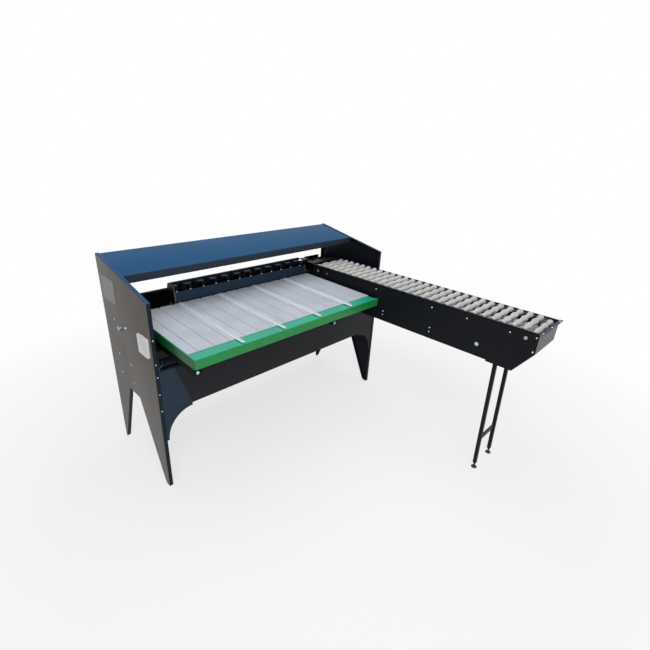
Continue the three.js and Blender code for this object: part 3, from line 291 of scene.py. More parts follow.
matLook = {
    "light": (188, 195, 206),
    "dark": (172, 180, 192),
    "soil": (160, 164, 168),
    "soilShare": 0.35,
    "seam": (112, 118, 126),
    "rough": 0.46,
    "firstSeam": 110.45,
    "lane": 73.7,
    "seamWidth": 1.4,
    "spotSize": 0.12,
    "streakSize": 0.004,
    "grainDepth": 0.00002,
    "edge": 0.0006,
}


def seamedMat(name):
    made = Finish(name)
    across = made.part(made.place, 0) - at(matLook["firstSeam"], 0, 0).x
    lane = across.maths("PINGPONG", across, matLook["lane"] / 2000)
    seam = lane.span(matLook["seamWidth"] / 2000, matLook["seamWidth"] / 1000, 1, 0)
    spot = made.noise(matLook["spotSize"], 5)
    streak = made.noise(matLook["streakSize"], 3, (1, 0.05, 1))
    base = made.mix(paint(*matLook["light"]), paint(*matLook["dark"]), spot.span(0.3, 0.7))
    base = made.mix(base, paint(*matLook["soil"]), streak.span(0.45, 0.85) * matLook["soilShare"])
    base = made.mix(base, paint(*matLook["seam"]), seam * made.facing(2).span(0.3, 0.6))
    return made.done(base, spot * 0.12 + matLook["rough"], streak, matLook)


trayLook = {
    "shine": 0.35,
    "rough": 0.3,
    "front": (34, 146, 74),
    # top, a bluer green on faces that look up: painted reflection of the sky on the green paint
    "top": (26, 164, 134),
    # left, a darker green on faces that look left: painted shade
    "left": (20, 92, 46),
    "spot": (24, 96, 60),
    "spotSize": 0.1,
    "spotShare": 0.25,
    # rim, pale green on sharp edges: painted highlight
    "rim": (150, 205, 180),
    "highlightRadius": 0.0016,
    "highlightShare": 0.35,
    "grainSize": 0.0012,
    "grainDepth": 0.00002,
    "edge": 0.0012,
}


def trayGreen(name):
    made = Finish(name, Specular_IOR_Level=trayLook["shine"])
    spot = made.noise(trayLook["spotSize"], 5)
    # faces that look up turn teal: painted reflection of the sky
    base = made.mix(paint(*trayLook["front"]), paint(*trayLook["top"]), made.facing(2).span(0.4, 0.9))
    # faces that look left turn darker: painted shade
    base = made.mix(base, paint(*trayLook["left"]), made.facing(0).span(-0.5, -0.9))
    base = made.mix(base, paint(*trayLook["spot"]), spot.span(0.35, 0.75) * trayLook["spotShare"])
    # sharp edges turn pale green: painted highlight
    rim = made.edges(trayLook["highlightRadius"]) * trayLook["highlightShare"]
    base = made.mix(base, paint(*trayLook["rim"]), rim)
    rough = spot * 0.12 + trayLook["rough"]
    return made.done(base, rough, made.noise(trayLook["grainSize"], 2), trayLook)


looks = {  # a material, its slot, and how the names of the nodes that wear it start
    "shelfCoat": (powderCoat("shelf coat", "shelf"), "navy_paint", "top_shelf"),
    "panelCoat": (powderCoat("panel coat", "panel"), "grey_paint", "left_side_panel"),
    "innerCoat": (powderCoat("right panel coat", "inner"), "navy_paint", "right_side_panel"),
    "stationCoat": (powderCoat("station coat", "station"), "navy_paint", "scale_front_plate"),
    "cheekCoat": (powderCoat("cheek coat", "cheek"), "navy_paint", "scale_end_bracket"),
    "shadeCoat": (powderCoat("rear coat", "shade"), "black_paint", "rear_panel"),
    "transferCoat": (powderCoat("transfer coat", "transfer"), "navy_paint", "transfer_"),
    # the weigh pans, pivot shaft and lift rail in near black: painted shade under the transfer bar
    "shadowBlackCoat": (powderCoat("works shadow coat", "works"), "works_paint")
    + ("weigh_lever", "scale_pivot", "lift_rail"),
    "hiddenCoat": (powderCoat("hidden coat", "works"), "black_paint")
    + ("scale_base", "lift_rocker", "tray_arm"),
    # the lit copy of the beam's paint: painted light
    "litBeamCoat": (powderCoat("lit beam coat", "navy"), "navy_paint", "front_left_gusset"),
    "wallCoat": (powderCoat("conveyor coat", "wall"), "black_paint", "conveyor_wall"),
    # the end plate's grey sides are painted reflection
    "noseCoat": (powderCoat("end plate coat", "nose"), "black_paint", "conveyor_end_plate"),
    # the beam's paint as it looks in the tray's shadow: painted shade
    "beamCoat": (powderCoat("beam coat", "beam"), "black_paint")
    + ("front_beam", "front_right_gusset", "conveyor_support"),
    "darkCoat": (powderCoat("black coat", "dark"), "black_paint")
    + ("motor_bracket", "tray_cross", "conveyor_cross_brace", "infeed_cradle"),
    "legCoat": (powderCoat("leg paint", "leg"), "leg_paint", "leg_frame"),
    "motorPaint": (powderCoat("motor paint", "motor"), "motor_paint", "gear_motor"),
    "castIron": (powderCoat("painted iron", "cast"), "zinc_steel", "left_shaft", "right_shaft"),
    "zinc": (plainMetal("zinc plate", (176, 178, 182), 0.3), "zinc_steel")
    + ("main_shaft", "conveyor_drive_shaft", "levelling", "conveyor_idler", "motor_sprocket"),
    "chainSteel": (plainMetal("chain steel", (120, 118, 114), 0.38), "zinc_steel")
    + ("drive_chain", "conveyor_drive_chain"),
    "boltSteel": (plainMetal("bolt steel", (206, 208, 212), 0.24, wearSize=0.008), "zinc_steel"),
    "trayPaint": (trayGreen("tray green"), "tray_paint", "sorting_tray"),
    "matSheet": (seamedMat("lane mat"), "lane_mat", "sorting_mat"),
    "stripPlastic": (moulded("divider plastic", (232, 237, 240), 0.2, 0.03), "divider_plastic")
    + ("lane_divider",),
    "rollerPlastic": (moulded("roller plastic", (196, 196, 194), 0.34), "roller_plastic")
    + ("conveyor_roller",),
    "whitePlastic": (moulded("switch plastic", (232, 233, 234), 0.3, 0.04), "switch_plastic")
    + ("switch_box", "power_button"),
    "buttonPlastic": (moulded("button plastic", (226, 227, 228), 0.26, 0.03), "button_plastic"),
    "labelPlate": (plainMetal("label plate", (128, 127, 124), 0.42, (1, 1, 18)), "label_metal")
    + ("nameplate",),
}
finishes = {name: look[0] for name, look in looks.items()}
dress = {name: [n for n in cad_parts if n.startswith(look[2:])] for name, look in looks.items()}
print("finishes made")


def dressNodes():
    for finish, names in dress.items():
        for name in names:
            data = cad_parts[name].data
            data.materials.clear()
            data.materials.append(finishes[finish])
    bare = set(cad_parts) - {n for names in dress.values() for n in names}
    print("nodes dressed, left bare:", sorted(bare))


dressNodes()


# Modelling
def rest():  # object mode, nothing selected
    if bpy.context.object and bpy.context.object.mode == "EDIT":
        bpy.ops.object.mode_set(mode="OBJECT")
    bpy.ops.object.select_all(action="DESELECT")


def hold(piece):
    rest()
    piece.select_set(True)
    bpy.context.view_layer.objects.active = piece


def edit(piece):
    hold(piece)
    bpy.ops.object.mode_set(mode="EDIT")


def pick(piece, kind, test):  # selects faces, edges or vertices in edit mode
    bpy.ops.mesh.select_all(action="DESELECT")
    bpy.ops.mesh.select_mode(type=kind)
    mesh = bmesh.from_edit_mesh(piece.data)
    parts = {"FACE": mesh.faces, "EDGE": mesh.edges, "VERT": mesh.verts}[kind]
    for part in parts:
        if test(part):
            part.select_set(True)
    mesh.select_flush_mode()
    bmesh.update_edit_mesh(piece.data)


def middle(edge):
    return (edge.verts[0].co + edge.verts[1].co) / 2


def modify(piece, kind, **values):
    hold(piece)
    modifier = piece.modifiers.new(kind.title(), kind)
    for key, value in values.items():
        setattr(modifier, key, value)
    bpy.ops.object.modifier_apply(modifier=modifier.name)
    return piece


def soften(piece, radius, segments=2, angle=40):  # radius in millimetres
    values = {"width": radius / 1000, "segments": segments, "angle_limit": math.radians(angle)}
    return modify(piece, "BEVEL", **values, miter_outer="MITER_ARC")


def applied():
    bpy.ops.object.transform_apply(location=True, rotation=True, scale=True)
    return bpy.context.object


def pushed(move):  # what is selected in edit mode, pulled out along a way
    bpy.ops.mesh.extrude_region_move(TRANSFORM_OT_translate={"value": move})


def closed(piece):  # out of edit mode, with every face looking outwards
    bpy.ops.mesh.select_all(action="SELECT")
    bpy.ops.mesh.normals_make_consistent(inside=False)
    bpy.ops.object.mode_set(mode="OBJECT")
    return piece


def addBlock(low, high, radius=0, segments=2):
    a, b = at(*low), at(*high)
    rest()
    bpy.ops.mesh.primitive_cube_add(size=1, location=(a + b) / 2, scale=b - a)
    piece = applied()
    return soften(piece, radius, segments) if radius else piece


axes = {"X": Vector((1, 0, 0)), "Y": Vector((0, 1, 0)), "Z": Vector((0, 0, 1))}


def addTurned(axis, place, steps, sides=24):  # steps are distances along the axis and radii
    along = axes[axis[-1]] * (-1 if axis[0] == "-" else 1)
    turn = along.to_track_quat("Z", "Y").to_euler()
    start = at(*place)
    rest()
    bpy.ops.mesh.primitive_circle_add(
        vertices=sides,
        radius=steps[0][1] / 1000,
        fill_type="NGON",
        location=start + along * steps[0][0] / 1000,
        rotation=turn,
    )
    piece = applied()
    bpy.ops.object.mode_set(mode="EDIT")
    bpy.ops.mesh.select_all(action="SELECT")
    for (before, radius), (distance, wide) in zip(steps, steps[1:]):
        move = along * (distance - before) / 1000
        pushed(move)
        if wide != radius:
            share = wide / radius
            bpy.ops.transform.resize(value=(share,) * 3, center_override=start + along * distance / 1000)
    return closed(piece)


def addSheet(line, left, right, thick, fold):  # a bent sheet that runs along X
    a, b = at(left, *line[0]), at(right, *line[1])
    leg = Vector((0, b.y - a.y, b.z - a.z))
    rest()
    turn = (math.atan2(leg.z, leg.y), 0, 0)
    bpy.ops.mesh.primitive_plane_add(size=1, location=(a + b) / 2, rotation=turn)
    bpy.context.object.scale = (b.x - a.x, leg.length, 1)
    piece = applied()
    bpy.ops.object.mode_set(mode="EDIT")
    for (ya, za), (yb, zb) in zip(line[1:], line[2:]):
        end = at(0, ya, za)
        pick(piece, "EDGE", lambda e: math.hypot(middle(e).y - end.y, middle(e).z - end.z) < 1e-5)
        pushed(Vector((0, (yb - ya) / 1000, (zb - za) / 1000)))
    pick(piece, "EDGE", lambda e: len(e.link_faces) == 2)
    bpy.ops.mesh.bevel(offset=fold / 1000, segments=4)
    bpy.ops.object.mode_set(mode="OBJECT")
    return modify(piece, "SOLIDIFY", thickness=thick / 1000, offset=1, use_even_offset=True)


def addPlate(axis, outline, low, high):  # a flat outline pushed out along an axis
    rest()
    bpy.ops.mesh.primitive_circle_add(vertices=len(outline), radius=0.1, fill_type="NGON")
    piece = applied()
    bpy.ops.object.mode_set(mode="EDIT")
    mesh = bmesh.from_edit_mesh(piece.data)
    for vert, (a, b) in zip(mesh.verts, outline):
        vert.co = at(*{"X": (low, a, b), "Y": (a, low, b), "Z": (a, b, low)}[axis])
    bmesh.update_edit_mesh(piece.data)
    bpy.ops.mesh.select_all(action="SELECT")
    pushed(axes[axis] * (high - low) / 1000)
    return closed(piece)


def addRounded(axis, low, high, radius, segments=5):  # a block whose edges along one axis are round
    piece = addBlock(low, high)
    edit(piece)
    pick(piece, "EDGE", lambda e: abs((e.verts[0].co - e.verts[1].co).normalized().dot(axes[axis])) > 0.9)
    bpy.ops.mesh.bevel(offset=radius / 1000, segments=segments)
    rest()
    return piece


def cutOut(piece, tool):
    modify(piece, "BOOLEAN", object=tool, operation="DIFFERENCE", solver="EXACT")
    bpy.data.objects.remove(tool)
    return piece


def bored(piece, axis, start, reach, radius, sides=24):
    return cutOut(piece, addTurned(axis, start, [(0, radius), (reach, radius)], sides))


def ribbon(line, thick):  # the outline of a flat bar that follows a line
    points = [Vector(p) for p in line]
    sides = [[], []]
    for i, point in enumerate(points):
        before = (point - points[i - 1]).normalized() if i else (points[1] - point).normalized()
        after = (points[i + 1] - point).normalized() if i + 1 < len(points) else before
        across = Vector((-before.y, before.x))
        normal = (across + Vector((-after.y, after.x))).normalized()
        reach = thick / 2 / normal.dot(across)
        sides[0].append(tuple(point + normal * reach))
        sides[1].append(tuple(point - normal * reach))
    return sides[0] + sides[1][::-1]


def faces(way):  # picks the faces that look one way
    return lambda face: face.normal.dot(Vector(way)) > 0.9


def joined(pieces):
    rest()
    for piece in pieces:
        piece.select_set(True)
    bpy.context.view_layer.objects.active = pieces[0]
    bpy.ops.object.join()
    return bpy.context.object


def aboutX(centre, angle):  # a turn about a line along X through a place
    return Matrix.Translation(centre) @ Matrix.Rotation(angle, 4, "X") @ Matrix.Translation(-centre)


def doubled(piece, matrix):
    other = piece.copy()
    other.data = piece.data.copy()
    other.data.transform(matrix)
    bpy.context.scene.collection.objects.link(other)
    return other


def settle(piece, name, finish, body="frame", stands=(), smooth=35):
    hold(piece)
    bpy.ops.object.transform_apply(location=True, rotation=True, scale=True)
    bpy.ops.object.shade_smooth_by_angle(angle=math.radians(smooth))
    piece.name = piece.data.name = name
    piece.data.materials.clear()
    piece.data.materials.append(finishes[finish])
    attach(piece, body)
    if stands:
        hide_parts(*stands)
    return piece


# Screws and bolts, each modelled once at the middle of the part and copied
screws = {
    "dome": [(0, 3.948), (0.4, 4.2), (1.04, 3.99), (1.95, 3.108), (2.6, 2.016), (2.6, 1.71), (1.3, 1.52)],
    "washer": [(0, 9.28), (1.1, 9.28), (1.1, 6.4)],
    "hexagon": [(1, 6.4), (4.52, 6.4), (5.4, 5.504)],
}


def domeScrew():
    return addTurned("Z", middleFoot, screws["dome"], 12)


def hexBolt():
    washer = addTurned("Z", middleFoot, screws["washer"], 20)
    return joined([washer, addTurned("Z", middleFoot, screws["hexagon"], 6)])


def boltOn(template, spots, name):  # spots are places, the way each head looks, and its size
    copies = []
    for place, way, size in spots:
        turn = axes["Z"].rotation_difference(Vector(way)).to_matrix().to_4x4()
        copies.append(doubled(template, Matrix.Translation(at(*place)) @ turn @ Matrix.Scale(size, 4)))
    return settle(joined(copies), name, "boltSteel")


left, right, front, up = (-1, 0, 0), (1, 0, 0), (0, -1, 0), (0, 0, 1)
fixings = {
    "panelXs": (0, 1457.9),
    "bearingXs": (0, 1458),
    "panel": [(377, 720), (384, 543), (253, 537.5), (384, 444.5), (250, 442)],
    "bearing": [(254.4, 717), (345.6, 689)],
    "bearingSize": 0.8,
    "flangeXs": (9, 1449),
    "flangeZs": [748, 640, 581, 498, 415],
    "flangeSize": 0.8,
    "wallXs": (1173.1, 1406.2),
    "wall": [(178.5, 772), (-195.4, 777), (-539.3, 775), (-721.7, 776.5), (-919.1, 777.4)]
    + [(-255.4, 667.6), (-255.4, 647.6), (-544, 668.8), (-544, 647.6), (-1026, 788), (-1026, 722)],
    "nose": [(x, -1043, 810) for x in (1185, 1289.6, 1394)],
    "plate": [(294.5 + 73.7 * k, 348, 797) for k in range(12)],
    "legStop": [(-790.8, 672.3)],
    "arm": [(x, -205.3, 670) for x in (81, 841)],
    "armSize": 0.75,
}


def bothSides(kind, places, size=1):  # spots on the left and the right outer face, looking outwards
    pairs = zip(fixings[kind], (left, right))
    return [((x, y, z), way, size) for x, way in pairs for y, z in fixings[places]]


def fastenPanels():
    template = domeScrew()
    size = fixings["flangeSize"]
    spots = bothSides("panelXs", "panel")
    spots += [((x, 0, z), front, size) for x in fixings["flangeXs"] for z in fixings["flangeZs"]]
    boltOn(template, spots, "side_panel_screws")
    spots = bothSides("wallXs", "wall") + [(place, up, 1) for place in fixings["nose"]]
    boltOn(template, spots, "conveyor_wall_screws")
    boltOn(template, [(place, front, 1) for place in fixings["plate"]], "scale_plate_screws")
    bpy.data.objects.remove(template)
    template = hexBolt()
    boltOn(template, bothSides("wallXs", "legStop"), "leg_stop_bolts")
    boltOn(template, bothSides("bearingXs", "bearing", fixings["bearingSize"]), "bearing_bolts")
    boltOn(template, [(place, front, fixings["armSize"]) for place in fixings["arm"]], "tray_arm_bolts")
    bpy.data.objects.remove(template)
    print("screws placed")


fastenPanels()


# Sides, bent from sheet
side = {
    "outline": [(0, 0), (30, 0), (41, 12), (212, 381), (323, 381), (480, 12), (487, 0), (498, 0)]
    + [(498, 1000), (0, 905)],
    "flange": 17,
    "sheet": 2,
    "bend": 2.4,
    "hole": (300, 703, 12),
}


def mirroredPiece(piece):  # on the other side of the machine's middle
    other = doubled(piece, Matrix.Scale(-1, 4, axes["X"]))
    edit(other)
    bpy.ops.mesh.select_all(action="SELECT")
    bpy.ops.mesh.flip_normals()
    rest()
    return other


def makeSides():
    piece = addPlate("X", side["outline"], 0, side["flange"])
    edit(piece)
    pick(piece, "FACE", faces(right))
    bpy.ops.mesh.delete(type="ONLY_FACE")
    pick(piece, "EDGE", lambda e: len(e.link_faces) == 2)
    bpy.ops.mesh.bevel(offset=side["bend"] / 1000, segments=3)
    rest()
    modify(piece, "SOLIDIFY", thickness=side["sheet"] / 1000, offset=-1, use_even_offset=True)
    y, z, radius = side["hole"]
    bored(piece, "X", (-6, y, z), 20, radius, 32)
    other = mirroredPiece(piece)
    settle(piece, "left_side", "panelCoat", stands=["left_side_panel"], smooth=50)
    settle(other, "right_side", "innerCoat", stands=["right_side_panel"], smooth=50)


makeSides()

# Top shelf
top = {
    "backY": 495.7,
    "foldY": 247,
    "rise": 95 / 498,
    "front": 902.7,
    "backLip": 40,
    "lip": 36,
    "hem": 10,
    "xs": (2.3, 1455.7),
    "sheet": 2,
    "fold": 3.2,
}


def makeShelf():
    back, fold = top["backY"], top["foldY"]
    backZ, foldZ = (top["front"] + top["rise"] * y for y in (back, fold))
    line = [(back, backZ - top["backLip"]), (back, backZ), (fold, foldZ)]
    line += [(fold, foldZ - top["lip"]), (fold + top["hem"], foldZ - top["lip"])]
    piece = addSheet(line, *top["xs"], top["sheet"], top["fold"])
    settle(piece, "shelf", "shelfCoat", stands=["top_shelf"], smooth=50)


makeShelf()

# A thin navy sheet over the left end of the beam, shaped like the part of the beam outside the tray's
# shadow: a painted patch of light
lap = {"left": 17.3, "foot": 152, "head": 84, "low": 402, "high": 599, "front": 1.2, "back": 2.2}


def makeBeamLightPatch():
    corners = [("left", "low"), ("foot", "low"), ("head", "high"), ("left", "high")]
    outline = [(lap[x], lap[z]) for x, z in corners]
    settle(addPlate("Y", outline, lap["front"], lap["back"]), "beam_light_patch", "litBeamCoat")


makeBeamLightPatch()
print("sides and shelf bent")

# Nameplate, switch box and its button on the left side
plate = {
    "low": (-1.3, 321, 801),
    "high": (-0.3, 471, 914),
    "corner": 4,
    "rim": 3,
    "step": 0.4,
    "raised": 0.3,
    "rivet": [(0, 2.2), (0.5, 2.2), (0.9, 1.76), (1.2, 0.88)],
    "rivetX": -0.8,
    "rivetYs": (329, 463),
    "rivetZs": (809, 906),
}


def makeNameplate():
    piece = addBlock(plate["low"], plate["high"])
    edit(piece)
    pick(piece, "EDGE", lambda e: abs(e.verts[0].co.x - e.verts[1].co.x) > 1e-5)
    bpy.ops.mesh.bevel(offset=plate["corner"] / 1000, segments=4)
    pick(piece, "FACE", faces(left))
    bpy.ops.mesh.inset(thickness=plate["rim"] / 1000)
    bpy.ops.mesh.inset(thickness=plate["step"] / 1000, depth=-plate["raised"] / 1000)
    rest()
    places = [(plate["rivetX"], y, z) for y in plate["rivetYs"] for z in plate["rivetZs"]]
    rivets = [addTurned("-X", place, plate["rivet"], 14) for place in places]
    settle(joined([piece] + rivets), "bare_nameplate", "labelPlate", stands=["nameplate"])


switch = {
    "low": (-10.3, 20, 663),
    "high": (-0.3, 112, 750),
    "corner": 9,
    "inset": 11,
    "recess": 2,
    "edge": 0.9,
    "button": (74, 700.5),
    "buttonBack": -5.8,
    "buttonSteps": [(0, 10), (4.2, 10), (4.8, 9.5), (5, 8.6), (4.6, 6)],
    "wellRadius": 10.7,
    "wellFloor": -3.8,
}


def makeSwitch():
    x0, y0, z0 = switch["low"]
    y1, z1 = switch["high"][1:]
    inset, corner = switch["inset"], switch["corner"]
    body = addRounded("X", switch["low"], switch["high"], corner)
    pocketHigh = (x0 + switch["recess"], y1 - inset, z1 - inset)
    pocket = addRounded("X", (x0 - corner, y0 + inset, z0 + inset), pocketHigh, corner / 2)
    soften(cutOut(body, pocket), switch["edge"], 3, 50)
    y, z = switch["button"]
    start = x0 - corner
    bored(body, "X", (start, y, z), switch["wellFloor"] - start, switch["wellRadius"], 40)
    settle(body, "switch_case", "whitePlastic", stands=["switch_box"])
    button = addTurned("-X", (switch["buttonBack"], y, z), switch["buttonSteps"], 40)
    settle(button, "start_button", "buttonPlastic", "button", ["power_button"])


makeNameplate()
makeSwitch()
print("left side fitted")

# Sorting tray, folded from sheet, and the strips between the grades
trayForm = {
    "left": 64.6,
    "right": 1151.1,
    "end": 1170.1,
    "frontY": -218,
    "backY": 312,
    "frontZ": 732,
    "drop": 10,
    "skirt": 42,
    "sideEnd": 200,
    "fold": 3.4,
    "sheet": 2,
    "lap": 4,
    "web": 1,
    "lipEdge": 0.7,
    "arc": 8,
}
trayTurn = math.atan2(trayForm["drop"], trayForm["backY"] - trayForm["frontY"])


def alongTray(y):
    return trayForm["frontY"] + (y - trayForm["frontY"]) / math.cos(trayTurn)


def tilted(piece):  # from level to the tray's slope, about its front edge
    edge = Matrix.Translation(at(0, trayForm["frontY"], trayForm["frontZ"]))
    piece.data.transform(edge @ Matrix.Rotation(trayTurn, 4, "X") @ edge.inverted())
    return piece


def makeTray():
    left, right, frontY, z = (trayForm[k] for k in ("left", "right", "frontY", "frontZ"))
    low = z - trayForm["skirt"]
    piece = addBlock((left, frontY, low), (right, alongTray(trayForm["backY"]), z))
    edit(piece)
    pick(piece, "FACE", lambda f: f.normal.z < -0.9 or f.normal.y > 0.9)
    bpy.ops.mesh.delete(type="ONLY_FACE")
    bpy.ops.mesh.select_all(action="SELECT")
    end = at(0, alongTray(trayForm["sideEnd"]), 0)
    bpy.ops.mesh.bisect(plane_co=end, plane_no=(0, 1, 0))
    pick(piece, "FACE", lambda f: abs(f.normal.x) > 0.9 and f.calc_center_median().y > end.y)
    bpy.ops.mesh.delete(type="FACE")
    pick(piece, "EDGE", lambda e: len(e.link_faces) == 2 and e.calc_face_angle(0) > 0.5)
    bpy.ops.mesh.bevel(offset=trayForm["fold"] / 1000, segments=4)
    rest()
    modify(piece, "SOLIDIFY", thickness=trayForm["sheet"] / 1000, offset=-1, use_even_offset=True)
    end, sheet, lapX = trayForm["end"], trayForm["sheet"], right - trayForm["lap"]
    lip = addBlock((lapX, frontY, low), (end, frontY + sheet, z), trayForm["lipEdge"])
    reach = end - right
    centreY = frontY + sheet + reach
    web = [(lapX, frontY + trayForm["web"]), (end, frontY + trayForm["web"])]
    for i in range(trayForm["arc"] + 1):
        angle = -math.pi / 2 * (1 + i / trayForm["arc"])
        web.append((end + reach * math.cos(angle), centreY + reach * math.sin(angle)))
    corner = addPlate("Z", web + [(lapX, centreY)], z - sheet, z)
    settle(tilted(joined([piece, lip, corner])), "tray", "trayPaint", stands=["sorting_tray"], smooth=50)


strip = {
    "half": 7,
    "base": 1.5,
    "baseEdge": 0.6,
    "finHalf": 1.2,
    "finStart": 0.4,
    "finEdge": 1.1,
    "height": 9,
    "above": 4.6,
    "first": 67.6,
    "grade": 221.1,
    "startY": -214,
    "endY": 325,
    "short": 9,
}


def makeStrips():
    z = trayForm["frontZ"] + strip["above"]
    start, end = alongTray(strip["startY"]), alongTray(strip["endY"]) - strip["short"]
    half, fin = strip["half"], strip["finHalf"]
    for n in range(1, 5):
        x = strip["first"] + strip["grade"] * n
        base = addBlock((x - half, start, z), (x + half, end, z + strip["base"]), strip["baseEdge"])
        low, high = (x - fin, start, z + strip["finStart"]), (x + fin, end, z + strip["height"])
        pieces = joined([base, addBlock(low, high, strip["finEdge"], 4)])
        stands = ["lane_divider_%d" % n]
        settle(tilted(pieces), "lane_strip_%d" % n, "stripPlastic", stands=stands, smooth=50)


makeTray()
makeStrips()
print("tray folded")

# Roller chain of the conveyor: spools on a pair of link chains
belt = {
    "rearY": 252.8,
    "frontY": -985.0,
    "axisZ": 774,
    "wrap": 26,
    "rollers": 58,
    "spacing": 45.5,
    "lane": 73.7,
    "lanes": 3,
    "leftX": 1179.1,
    "end": 15,
    "flat": 3.0,
    "waist": 10.4,
    "waistSteps": 8,
    "gap": 1.0,
    "sides": 20,
    "pin": 2.2,
    "edge": 0.8,
    "pinEnds": (-2.6, 3.1),
    "chainXs": (1177.95, 1401.35),
    "chainWidth": 3.4,
    "linksEach": 3,
    "plate": 0.9,
    "plateHeight": 3.9,
    "innerShare": 0.92,
    "pinShare": 0.42,
}


def rim(y, z, radius, angle):
    return y + radius * math.cos(angle), z + radius * math.sin(angle)


def between(a, b, share):
    return tuple(p + (q - p) * share for p, q in zip(a, b))


def loopOf(y0, z0, y1, z1, wheel, other):  # a chain's line round two wheels, as a function of distance
    along = math.atan2(z1 - z0, y1 - y0)
    gap = math.hypot(y1 - y0, z1 - z0)
    lean = math.acos((wheel - other) / gap)
    straight = math.sqrt(gap**2 - (wheel - other) ** 2)
    first = wheel * (2 * math.pi - 2 * lean)
    second = other * 2 * lean
    total = first + second + 2 * straight
    near = [rim(y0, z0, wheel, along + turn) for turn in (-lean, lean)]
    far = [rim(y1, z1, other, along + turn) for turn in (-lean, lean)]

    def where(distance):
        d = distance % total
        if d < first:
            return rim(y0, z0, wheel, along + lean + d / wheel)
        d -= first
        if d < straight:
            return between(near[0], far[0], d / straight)
        d -= straight
        if d < second:
            return rim(y1, z1, other, along - lean + d / other)
        return between(far[1], near[1], (d - second) / straight)

    return where, total


def chainLink(length, width, outer, tall):  # two plates and a pin, along Y about the middle of the part
    x, y, z = middleFoot
    height = tall * (1 if outer else belt["innerShare"])
    reach = width / 2 if outer else width / 2 - belt["plate"]
    outline = []
    for i in range(12):
        across, up = rim(0, 0, height, math.pi / 6 * i)
        spread = (across > 1e-6) - (across < -1e-6)
        outline.append((y + across + spread * length / 2, z + up))
    ends = [(x + way * (reach - belt["plate"] / 2), x + way * reach) for way in (-1, 1)]
    plates = [addPlate("X", outline, *pair) for pair in ends]
    steps = [(0, height * belt["pinShare"]), (width, height * belt["pinShare"])]
    return joined(plates + [addTurned("X", (x - width / 2, y + length / 2, z), steps, 8)])


def chainAlong(where, total, count, x, width, tall, name, stands=()):
    spacing = total / count
    links = {flag: chainLink(spacing, width, flag, tall) for flag in (True, False)}
    copies = []
    for i in range(count):
        (ya, za), (yb, zb) = where(i * spacing), where((i + 1) * spacing)
        turn = Matrix.Rotation(math.atan2(zb - za, yb - ya), 4, "X")
        place = Matrix.Translation(at(x, (ya + yb) / 2, (za + zb) / 2))
        copies.append(doubled(links[i % 2 == 0], place @ turn))
    for link in links.values():
        bpy.data.objects.remove(link)
    return settle(joined(copies), name, "chainSteel", stands=stands)


def eggRoller():  # three waisted spools on one pin
    pin, gap, flat, edge, count = (belt[k] for k in ("pin", "gap", "flat", "edge", "waistSteps"))
    startX, endX = belt["pinEnds"]
    steps = [(startX, pin), (0, pin), (gap / 2, pin)]
    run = belt["lane"] - gap
    for lane in range(belt["lanes"]):
        start = lane * belt["lane"] + gap / 2
        steps += [(start, belt["end"] - edge), (start + edge, belt["end"])]
        for i in range(count + 1):
            dip = math.sin(math.pi * i / count) ** 1.4
            radius = belt["end"] - (belt["end"] - belt["waist"]) * dip
            steps.append((start + flat + (run - 2 * flat) * i / count, radius))
        steps += [(start + run - edge, belt["end"]), (start + run, belt["end"] - edge)]
        if lane < belt["lanes"] - 1:
            steps += [(start + run, pin * 2), (start + run + gap, pin * 2)]
    end = steps[-1][0]
    steps += [(end, pin), (end + endX, pin)]
    return addTurned("X", (belt["leftX"], *middleFoot[1:]), steps, belt["sides"])


def makeRollerChain():
    ends = [belt["frontY"], belt["axisZ"], belt["rearY"], belt["axisZ"]]
    where, total = loopOf(*ends, belt["wrap"], belt["wrap"])
    first = math.pi * belt["wrap"]
    count = belt["rollers"]
    spacing = total / count
    template = eggRoller()
    copies = []
    for i in range(count):
        y, z = where(first + (total - first * 2) / 2 - (i + 0.5) * spacing)
        copies.append(doubled(template, Matrix.Translation(at(middleFoot[0], y, z))))
    bpy.data.objects.remove(template)
    return copies, where, total


rollerCopies, beltLine, beltLength = makeRollerChain()
settle(joined(rollerCopies), "egg_rollers", "rollerPlastic", stands=["conveyor_roller_chain"])
linkCount = belt["rollers"] * belt["linksEach"]
for hand, x in zip(("left", "right"), belt["chainXs"]):
    sizes = belt["chainWidth"], belt["plateHeight"]
    chainAlong(beltLine, beltLength, linkCount, x, *sizes, "roller_side_chain_" + hand)
print("rollers placed, loop", round(beltLength, 1))

# Drive: shafts with toothed sprockets, cams and link chains
shafts = {  # a shaft's axis in Y and Z, its two ends in X and its radius
    "main": (300, 703, -16, 1474, 10),
    "motor": (318, 493, 28, 62, 8),
    "drive": (252.8, 774, 1171.1, 1430, 8),
    "idler": (-985, 774, 1171.1, 1408.2, 8),
}
drive = {
    "chamfer": 1,
    "large": (36, 21),
    "small": (24, 14),
    "tooth": 4.4,
    "flank": ((-0.36, 1), (-0.13, 0), (0.13, 0), (0.36, 1)),
    "toothWidth": 3,
    "web": 6.4,
    "width": 8,
    "hub": 15,
    "hubLength": 12,
    "leftX": 36,
    "rightX": 1420,
    "camXs": (74, 1376),
    "camWidth": 8,
    "camRadius": 17,
    "camThrow": 7,
    "camSteps": 32,
    "collarXs": ((67, 74), (1384, 1391)),
    "collar": 15,
    "pitchLine": 3,
    "chainWidth": 5,
    "chainPlate": 2.5,
    "discXs": (1176.5, 1400.2),
    "disc": 21,
    "discWidth": 2.6,
}


def rod(x0, x1, y, z, radius):
    edge = drive["chamfer"]
    steps = [(0, radius - edge), (edge, radius), (x1 - x0 - edge, radius), (x1 - x0, radius - edge)]
    return addTurned("X", (x0, y, z), steps, 32)


def shaftRod(name):
    y, z, x0, x1, radius = shafts[name]
    return rod(x0, x1, y, z, radius)


